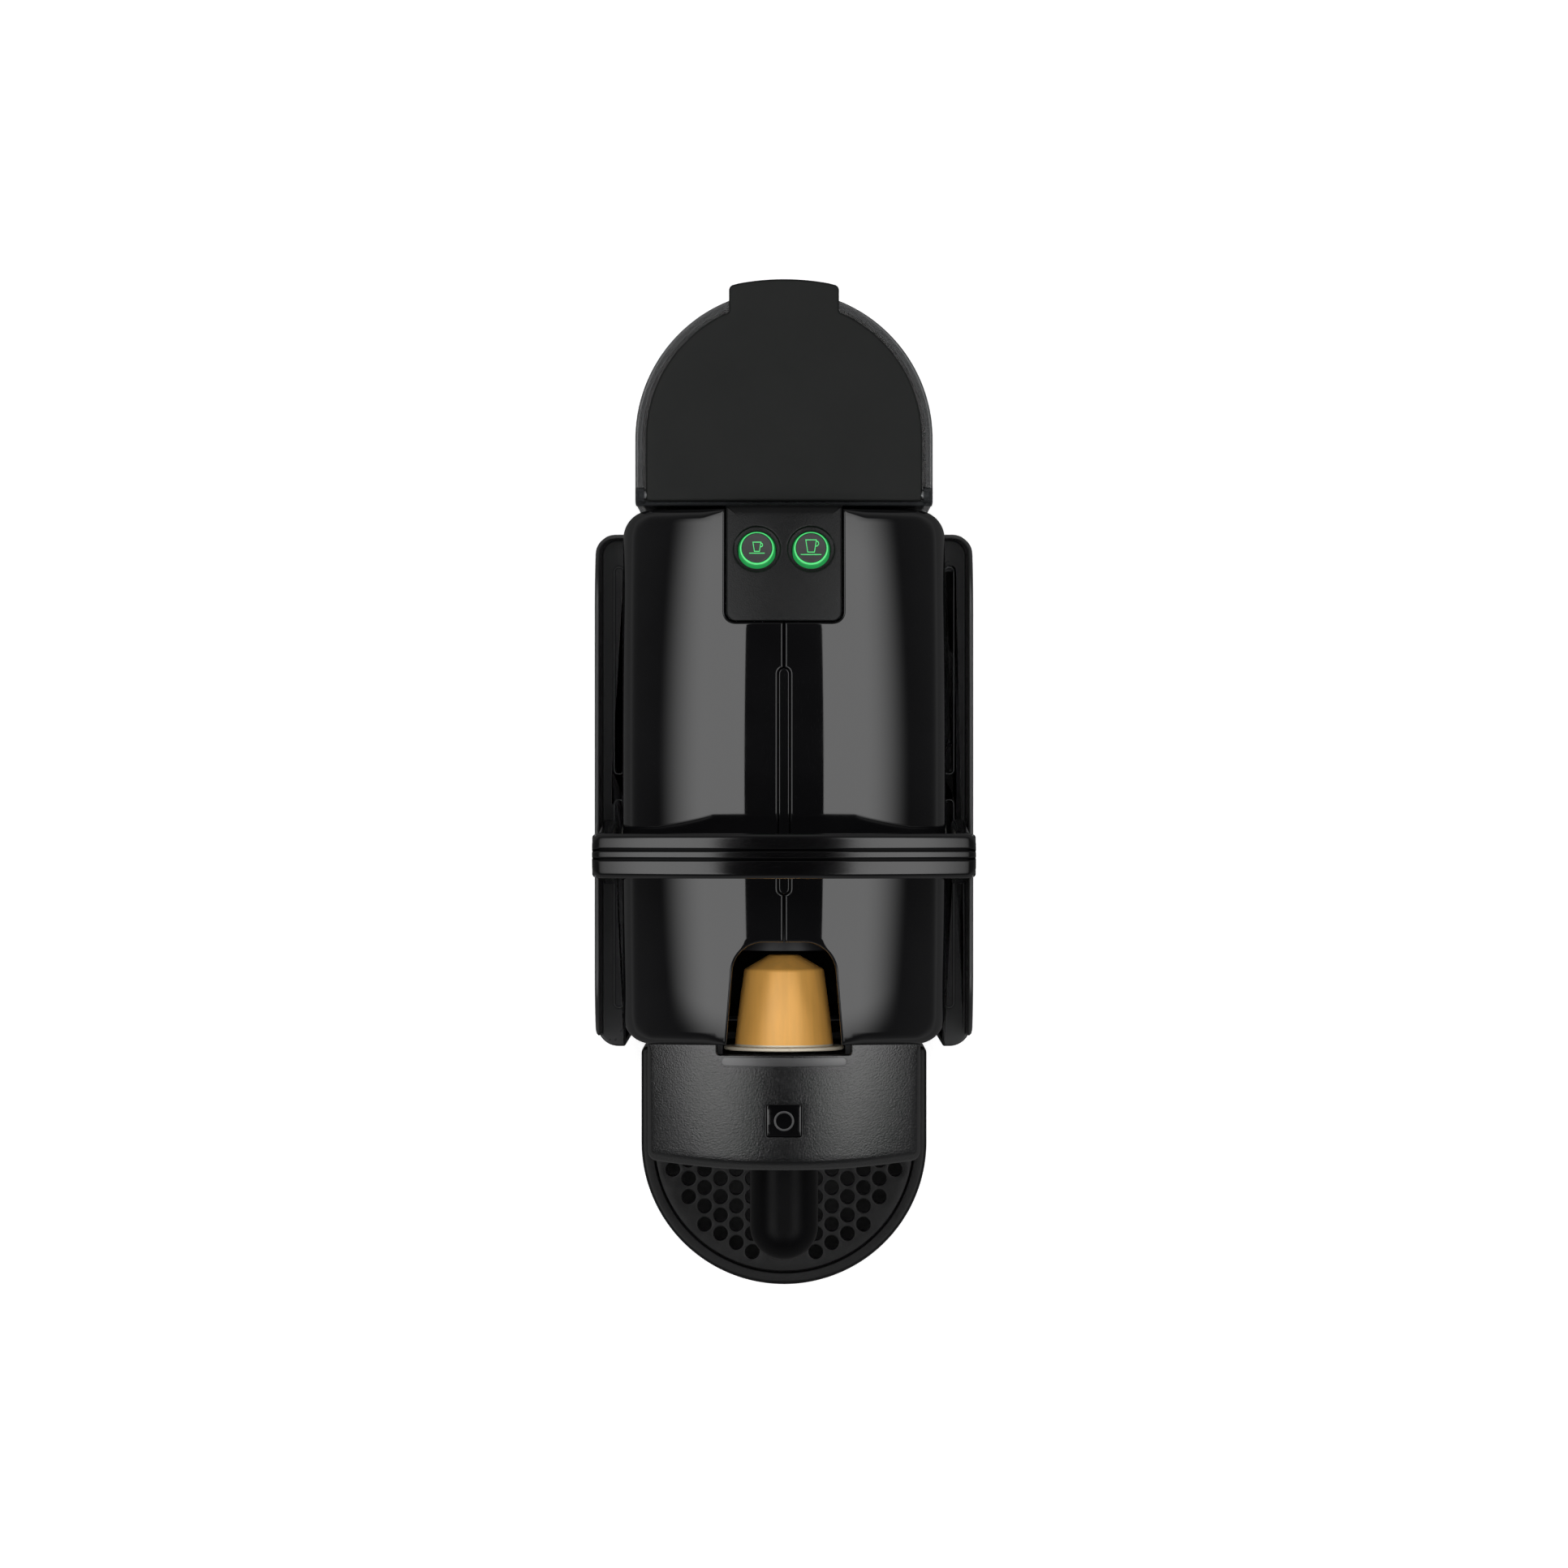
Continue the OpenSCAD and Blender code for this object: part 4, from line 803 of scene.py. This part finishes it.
def lever():
    _, y0, z0, x1, y1, z1 = edges("lever")
    arch_r, thick, wide = 150.0, 8.0, 13.0
    mid = (y0 + y1) / 2
    centre_z = z1 - arch_r
    half = wide / 2
    # cross-section of the band: (distance back, distance out)
    r = 1.9
    grooves, groove_depth, groove_w, crown_h = (-0.95, 1.8), 0.8, 0.36, 0.3
    top = []
    for u in np.linspace(-half + r, half - r, 57):
        drop = sum(groove_depth * math.exp(-((u - g) / groove_w) ** 2) for g in grooves)
        crown = crown_h * ((u / half) ** 2)
        top.append((u, -drop - crown))
    edge = [(half - r + r * math.sin(a), top[-1][1] - r + r * math.cos(a))
            for a in np.linspace(0.15, math.pi / 2, 8)]
    under_r = 2.4
    below = [(half - under_r + under_r * math.cos(a), -thick + under_r - under_r * math.sin(a))
             for a in np.linspace(0, math.pi / 2, 8)]
    right = edge + below
    section = top + right + [(-u, w) for u, w in right[::-1]]
    bm = bmesh.new()
    end = x1
    round_x = 2.6
    steps = ([-end + round_x * (1 - math.cos(a)) for a in np.linspace(0.25, math.pi / 2, 9)]
             + list(np.linspace(-end + round_x + 1, end - round_x - 1, 90))
             + [end - round_x * (1 - math.cos(a)) for a in np.linspace(math.pi / 2, 0.25, 9)])
    rings = []
    for x in steps:
        near = max(0.0, abs(x) - end + round_x) / round_x
        shrink = 1 - (1 - math.sqrt(max(0.0, 1 - near ** 2))) * 0.42
        out = math.sqrt(arch_r ** 2 - x * x)
        tilt = Vector((x / arch_r, out / arch_r))
        ring = []
        for u, w in section:
            w = -thick / 2 + (w + thick / 2) * (0.55 + 0.45 * shrink)
            ring.append(bm.verts.new((x + tilt.x * w * 0.35, mid + u * shrink, centre_z + out + w)))
        rings.append(ring)
    n = len(section)
    for a, b in zip(rings, rings[1:]):
        for i in range(n):
            j = (i + 1) % n
            bm.faces.new((a[i], b[i], b[j], a[j]))
    bm.faces.new(rings[0])
    bm.faces.new(rings[-1][::-1])
    # arms
    pivot_z = z0 + 10.0
    arm_in = 51.6
    arm_top = centre_z + math.sqrt(arch_r ** 2 - end ** 2) - 2.2
    outline = arc(mid, pivot_z, 9.9, 185, 355, 24) + [(mid + 6.4, pivot_z + 44), (mid + 6.3, arm_top),
                                                     (mid - 6.3, arm_top), (mid - 6.4, pivot_z + 44)]
    outline = resample(outline, 3.0)
    inward = mitres(outline)
    rim = 1.1
    path = [(rim * (1 - math.cos(a)), rim * (1 - math.sin(a))) for a in np.linspace(0, math.pi / 2, 6)]
    for side in (-1, 1):
        levels = [(o, arm_in + d) for o, d in path[::-1]] + [(o, end - 0.15 - d) for o, d in path]
        loops = [[bm.verts.new((side * x, p[0] + m[0] * o, p[1] + m[1] * o)) for p, m in zip(outline, inward)]
                 for o, x in levels]
        for a, b in zip(loops, loops[1:]):
            bridge(bm, a, b)
        bm.faces.new(loops[0][::-1])
        bm.faces.new(loops[-1])
    finish_mesh(bm, "lever_bow", "lever_satin", "lever_arm", ["lever"])


# ---------------------------------------------------------------- capsule

def capsule():
    _, y0, z0, _, _, z1 = CAPSULE
    axis_z = (z0 + z1) / 2
    place = Matrix.Translation((0, y0, axis_z)) @ Matrix.Rotation(-math.pi / 2, 4, "X")
    profile = [(0, 0.15), (13.6, 0.15), (14.2, 0.35), (17.4, 0.3)]
    profile += [(17.85 + 0.62 * math.sin(a), 0.62 - 0.6 * math.cos(a)) for a in np.linspace(0, math.pi, 10)]
    profile += [(17.2, 1.15), (15.7, 1.12), (15.25, 1.3), (15.1, 1.8)]
    rim_rows = len(profile)
    profile += [(14.35, 9.0), (13.4, 16.5), (12.35, 23.9)]
    profile += [(12.25, 24.4), (12.0, 24.75), (11.6, 25.0)]
    profile += [(8.0, 27.1), (5.2, 28.75), (4.75, 29.0), (4.4, 29.1), (4.0, 29.0), (3.4, 28.8), (0, 28.8)]
    bm = bmesh.new()
    lathe(bm, profile, 128, place, lambda k: 1 if k < rim_rows - 1 else 0)
    finish_mesh(bm, "coffee_capsule", "capsule_gold", "pod", ["capsule"], [SILVER], sharp=50)


# ---------------------------------------------------------------- drip tray and grid

TRAY = edges("drip_tray")
TRAY_HALF = TRAY[3]
ARC_Y = TRAY[1] + TRAY_HALF
TRAY_BACK = FRONT - 8.0
GRID = edges("drip_grid")


def d_loop(half, y_flat, y_arc, direction, r=3.0, step=1.6):
    """Half-round loop, counter-clockwise, with small corners at its straight end."""
    if direction < 0:
        loop = arc(0, y_arc, half, 180, 360, 96) + arc(half - r, y_flat - r, r, 0, 90, 6)
        loop += arc(-half + r, y_flat - r, r, 90, 180, 6)
    else:
        loop = arc(0, y_arc, half, 0, 180, 96) + arc(-half + r, y_flat + r, r, 180, 270, 6)
        loop += arc(half - r, y_flat + r, r, 270, 360, 6)
    return resample(loop, step)


def drip_tray():
    top, low = TRAY[5], TRAY[2]
    seat = GRID[2]
    loop = d_loop(TRAY_HALF, TRAY_BACK, ARC_Y, -1, r=2.0)
    foot_r = 2.6
    profile = [(3.0, low)] + [(foot_r - foot_r * math.sin(a), low + foot_r - foot_r * math.cos(a))
                              for a in np.linspace(0, math.pi / 2, 6)]
    profile += [(0, low + 20), (0, top - 8), (0, top - 1.3)]
    profile += corner(0, top, 1.3, 6)[1:]
    profile += [(2.4, top)]
    profile += [(3.4 + 0.5 * math.sin(a), top - 0.5 + 0.5 * math.cos(a))
                for a in np.linspace(0, math.pi / 2, 5)]
    profile += [(3.95, seat - 0.1), (5.3, seat - 0.1), (5.5, seat - 0.3), (5.5, seat - 4)]
    profile += [(2.1, seat - 7), (2.0, low + 6)]
    profile += [(2.0 + 3 * (1 - math.cos(a)), low + 5 - 3 * math.sin(a))
                for a in np.linspace(0.2, math.pi / 2, 5)]
    bm = bmesh.new()
    sweep(bm, loop, profile)
    hinge_y, hinge_z = axis_of("tray_hinge_pins")
    ear_in, ear_out, ear_r = 21.0, 29.6, 2.4
    for side in (-1, 1):
        ear = [(TRAY_BACK - 0.8, hinge_z + 1.0), (TRAY_BACK - 0.8, hinge_z - ear_r)]
        ear += arc(hinge_y, hinge_z, ear_r, -90, 155, 18)
        side_prism(bm, ear, side, ear_in, ear_out)
    finish_mesh(bm, "drip_tray_bowl", "tray_texture", "tray", ["drip_tray"])


def drip_grid():
    pitch, hole_r = 6.1, 2.3
    inset = TRAY_HALF - GRID[3]
    safe = GRID[3] - hole_r - 2.6
    loop = d_loop(GRID[3], TRAY_BACK - inset, ARC_Y, -1, r=1.5)
    holes = []
    for col in range(-8, 9):
        for n in range(-9, 10):
            x = col * pitch * math.sqrt(3) / 2
            y = ARC_Y + (n + (abs(col) % 2) / 2) * pitch
            fits = math.hypot(x, y - ARC_Y) < safe if y < ARC_Y else abs(x) < safe
            if fits and y < TRAY_BACK - inset - hole_r - 2.4:
                holes.append(arc(x, y, hole_r, 360, 15, 23))
    plate("drip_grid_plate", loop, lambda x, y: GRID[5], GRID[5] - GRID[2], 0.32, "grid_texture", "grid",
          ["drip_grid"], step=2.4, holes=holes, rounds=3)


# ---------------------------------------------------------------- water tank and lid

TANK = edges("water_tank")
LID = edges("tank_lid")
TANK_RIM_Z = 203.0


def water_tank():
    x1, y0, z0 = TANK[3], TANK[1], TANK[2]
    z1, foot_r = TANK_RIM_Z, 2.4
    arc_y = TANK[4] - x1
    loop = d_loop(x1, y0, arc_y, 1, r=1.2, step=1.2)
    profile = [(3.2, z0)] + [(foot_r - foot_r * math.sin(a), z0 + foot_r - foot_r * math.cos(a))
                             for a in np.linspace(0, math.pi / 2, 6)]
    profile += [(0, z0 + 60), (0, z0 + 120), (0, z1 - 0.8)]
    profile += corner(0, z1, 0.8, 5)[1:]
    profile += [(1.15, z1), (1.35, z1 - 0.2), (1.4, z1 - 1.1), (1.6, z1 - 1.3), (1.95, z1 - 1.3),
                (2.15, z1 - 1.5)]
    profile += [(2.2, z1 - 60), (2.2, z0 + 7)]
    profile += [(2.2 + 4 * (1 - math.cos(a)), z0 + 7 - 4 * math.sin(a))
                for a in np.linspace(0.2, math.pi / 2, 6)]
    bm = bmesh.new()
    sweep(bm, loop, profile)
    hinge_y, hinge_z = axis_of("lid_hinge_pins")
    ear_in, ear_r = 42.7, 2.4
    for side in (-1, 1):
        ear = [(y0 + 0.1, z1 - 5), (hinge_y + ear_r, z1 - 5)] + arc(hinge_y, hinge_z, ear_r, 0, 170, 14)
        side_prism(bm, ear, side, ear_in, x1 - 0.12)
    finish_mesh(bm, "water_tank_wall", "tank_smoke", "tank", ["water_tank"])


def tank_lid():
    half, y0, top = LID[3], LID[1], LID[5]
    arc_y = TANK[4] - TANK[3]
    tab_half, tab_end, tab_r = 16.8, LID[4], 75.0
    meet = math.degrees(math.acos((tab_half + 1.6) / half))
    loop = arc(0, arc_y, half, 0, meet, 40)
    side_y = arc_y + half * math.sin(math.radians(meet))
    tip_y = tab_end - tab_r + math.sqrt(tab_r ** 2 - (tab_half - 2) ** 2)
    loop += [(tab_half + 0.5, side_y + 0.25), (tab_half, side_y + 0.9)]
    loop += arc(tab_half - 1.7, tip_y - 1.9, 1.7, 0, 78, 6)
    loop += [(x, tab_end - tab_r + math.sqrt(tab_r ** 2 - x * x))
             for x in np.linspace(tab_half - 3, 3 - tab_half, 24)]
    loop += arc(-tab_half + 1.7, tip_y - 1.9, 1.7, 102, 180, 6)
    loop += [(-tab_half, side_y + 0.9), (-tab_half - 0.5, side_y + 0.25)]
    loop += arc(0, arc_y, half, 180 - meet, 180, 40)
    loop += arc(-half + 1.0, y0 + 1.0, 1.0, 180, 270, 4) + arc(half - 1.0, y0 + 1.0, 1.0, 270, 360, 4)
    loop = resample(loop, 1.2)
    inward = mitres(loop)
    thick = 3.0

    def column(i):
        (x, y), m = loop[i], inward[i]
        return [(x, y, top - thick + 0.4), (x + m[0] * 0.4, y + m[1] * 0.4, top - thick)]

    bm = bmesh.new()
    skin(bm, [roll(loop, 0.8, 0.8, column)], lambda x, y: top, lambda x, y: top - thick, 3.0, rounds=5)
    lip_y = axis_of("lid_hinge_pins")[0] + 4
    lip = d_loop(half - 1, lip_y, arc_y, 1, r=1.0, step=2.5)
    lip_profile = ((0, 0.3), (0, -2.6), (0.3, -2.95), (1.7, -2.95), (2, -2.6), (2, 0.3))
    sweep(bm, lip, [(o, top - thick + z) for o, z in lip_profile])
    finish_mesh(bm, "tank_lid_plate", "lid_matte", "lid", ["tank_lid"])


def cheek_highlight_lines():
    """Thin raised glowing lines round the recesses in the floor of each lever channel, a painted edge
    highlight.
    """
    _, y0, _, _, y1, _ = edges("right_cheek")
    pivot_y = axis_of("pivot_bushes")[0]
    line_w, line_z = 0.14, 173.1
    bm = bmesh.new()
    for side in (-1, 1):
        for a, b in ((y0 + 12, pivot_y + 16), (pivot_y + 24, y1 - 10)):
            loop = rounded(SIDE + 0.6, SIDE + 3.6, a, b, 1.4, 8)
            stroke(bm, [(side * x, y) for x, y in loop][::side], line_w, line_z, closed=True)
    obj = finish_mesh(bm, "cheek_highlight_lines", "cheek_gloss", "machine")
    # painted highlight: the lines glow instead of catching light
    obj.data.materials[0] = PAINTED_HIGHLIGHT_LINE


# the housing's front wall below the capsule slot
SLOT_WALL_X, SLOT_WALL_TOP = 20.4, 172.0
plate("slot_wall", resample(rounded(-SLOT_WALL_X, SLOT_WALL_X, FRONT + 0.02, FRONT + WALL, 0.4, 4), 1.5),
      lambda x, y: SLOT_WALL_TOP, SLOT_WALL_TOP - DRAWER_TOP, 0.35, "base_plastic", "machine", step=1.5)
seam_strip()
cheek_highlight_lines()
front_cover()
spout()
button_panel()
button(-1, "espresso_button", "espresso_ring", "espresso_key", 0.9)
button(1, "lungo_button", "lungo_ring", "lungo_key", 1.2)
lever()
capsule()
drip_tray()
drip_grid()
water_tank()
tank_lid()

# ---------------------------------------------------------------- camera, floor and light

LENS, CAMERA_Y, CAMERA_Z = 134.9, 0.0061, 2.0
camera = placed("camera", bpy.data.cameras.new("camera"))
camera.data.lens = LENS
camera.data.sensor_width = 36
camera.location = (0, CAMERA_Y, CAMERA_Z)
camera.data.clip_end = 50
bpy.context.scene.camera = camera


def falloff(tree, value, start, end):
    node = tree.nodes.new("ShaderNodeMapRange")
    node.interpolation_type = "SMOOTHSTEP"
    node.inputs["From Min"].default_value = start
    node.inputs["From Max"].default_value = end
    tree.links.new(value, node.inputs["Value"])
    return node.outputs["Result"]


def product(tree, values):
    total = values[0]
    for value in values[1:]:
        node = tree.nodes.new("ShaderNodeMath")
        node.operation = "MULTIPLY"
        tree.links.new(total, node.inputs[0])
        tree.links.new(value, node.inputs[1])
        total = node.outputs[0]
    return total


def flipped(tree, value):
    node = tree.nodes.new("ShaderNodeMath")
    node.operation = "SUBTRACT"
    node.inputs[0].default_value = 1.0
    tree.links.new(value, node.inputs[1])
    return node.outputs[0]


def area_light(name, across, along, middle, energy):
    """Flat lamp that points down and is not seen itself."""
    light = bpy.data.lights.new(name, "AREA")
    light.shape = "RECTANGLE"
    light.size, light.size_y = across, along
    light.energy = energy
    lamp = placed(name, light)
    lamp.location = middle
    lamp.visible_camera = False
    return lamp


# two long soft boxes that light reflections only: hard inner edge, soft outer edge and ends
BOX_Z, BOX_IN, BOX_OUT, BOX_FRONT, BOX_REAR, BOX_LEVEL = 1.43, 0.33, 1.45, -1.05, 1.60, 10.0
for side in (-1, 1):
    across, along = BOX_OUT - BOX_IN, BOX_REAR - BOX_FRONT
    middle = (side * (BOX_IN + BOX_OUT) / 2, (BOX_FRONT + BOX_REAR) / 2, BOX_Z)
    box = area_light("softbox", across, along, middle, BOX_LEVEL * across * along)
    box.visible_diffuse = False
    box.data.use_nodes = True
    tree = box.data.node_tree
    place = tree.nodes.new("ShaderNodeNewGeometry")
    split = tree.nodes.new("ShaderNodeSeparateXYZ")
    tree.links.new(place.outputs["Position"], split.inputs["Vector"])
    fade = product(tree, [flipped(tree, falloff(tree, split.outputs["X"], 0.72, 1.42)) if side > 0
                          else falloff(tree, split.outputs["X"], -1.42, -0.72),
                          falloff(tree, split.outputs["Y"], -1.03, -0.78),
                          flipped(tree, falloff(tree, split.outputs["Y"], 0.75, 1.55))])
    tree.links.new(fade, tree.nodes["Emission"].inputs["Strength"])

# even fill from above, left out of reflections
FILL_SIZE, FILL_Z, FILL_WATTS = 0.9, 1.95, 24.0
overhead = area_light("overhead", FILL_SIZE, FILL_SIZE, (0, 0, FILL_Z), FILL_WATTS)
overhead.visible_glossy = False

world = bpy.data.worlds.new("studio")
bpy.context.scene.world = world
world.use_nodes = True
tree = world.node_tree
place = tree.nodes.new("ShaderNodeTexCoord")
split = tree.nodes.new("ShaderNodeSeparateXYZ")
tree.links.new(place.outputs["Generated"], split.inputs["Vector"])
height = tree.nodes.new("ShaderNodeMapRange")
height.inputs["From Min"].default_value = -1.0
tree.links.new(split.outputs["Z"], height.inputs["Value"])
sky = tree.nodes.new("ShaderNodeValToRGB")
levels = ((0.0, 0.1), (0.45, 0.3), (0.52, 0.42), (0.65, 0.2), (0.8, 0.08), (0.93, 0.02), (1.0, 0.012))
for position, level in levels[1:-1]:
    sky.color_ramp.elements.new(position)
for element, (position, level) in zip(sky.color_ramp.elements, levels):
    element.position = position
    element.color = (level, level, level, 1)
tree.links.new(height.outputs["Result"], sky.inputs["Fac"])
tree.links.new(sky.outputs["Color"], tree.nodes["Background"].inputs["Color"])
bpy.context.scene.view_settings.view_transform = "Standard"

floor_mesh = bpy.data.meshes.new("floor")
FLOOR_HALF = 6.0
floor_corners = [(x * FLOOR_HALF, y * FLOOR_HALF, 0) for x, y in ((-1, -1), (1, -1), (1, 1), (-1, 1))]
floor_mesh.from_pydata(floor_corners, [], [(0, 1, 2, 3)])
floor = placed("floor", floor_mesh)
floor_material, _, floor_shader = nodes_of("floor_pale")
floor_shader.inputs["Base Color"].default_value = (0.8, 0.8, 0.8, 1)
floor_shader.inputs["Roughness"].default_value = 0.9
floor_shader.inputs["Emission Color"].default_value = (1, 1, 1, 1)
floor_shader.inputs["Emission Strength"].default_value = 0.75
floor_mesh.materials.append(floor_material)
floor.visible_glossy = False

# ---------------------------------------------------------------- carried-over CAD nodes

ROUNDING = {"left_cheek": 0.7, "right_cheek": 0.7, "base_plate": 0.6, "capsule_container": 0.5,
            "drip_carrier": 0.4,
            "rubber_feet": 0.5, "tank_dock": 0.5}
# brew parts deep in the slot, drawn darker than their material slots as painted shade
SHADED = ("brew_head", "capsule_cage", "cage_yoke", "capsule_guides", "cage_seal")
slots = {s["node"]: s["material_slot"] for s in frame["record"]["subparts"]}
for name, node in frame["nodes"].items():
    node.data.materials.clear()
    node.data.materials.append(PAINTED_SHADE_METAL if name in SHADED else MATERIALS[slots[name]])
    if node.hide_render:
        continue
    weld = node.modifiers.new("weld", "WELD")
    weld.merge_threshold = 2e-6
    flat = node.modifiers.new("flat", "DECIMATE")
    flat.decimate_type = "DISSOLVE"
    flat.angle_limit = math.radians(0.6)
    if name in ROUNDING:
        bevel = node.modifiers.new("round", "BEVEL")
        bevel.width = ROUNDING[name] * MM
        bevel.segments = 3
        bevel.limit_method = "ANGLE"
        bevel.angle_limit = math.radians(40)
        bevel.use_clamp_overlap = False
        bevel.harden_normals = True
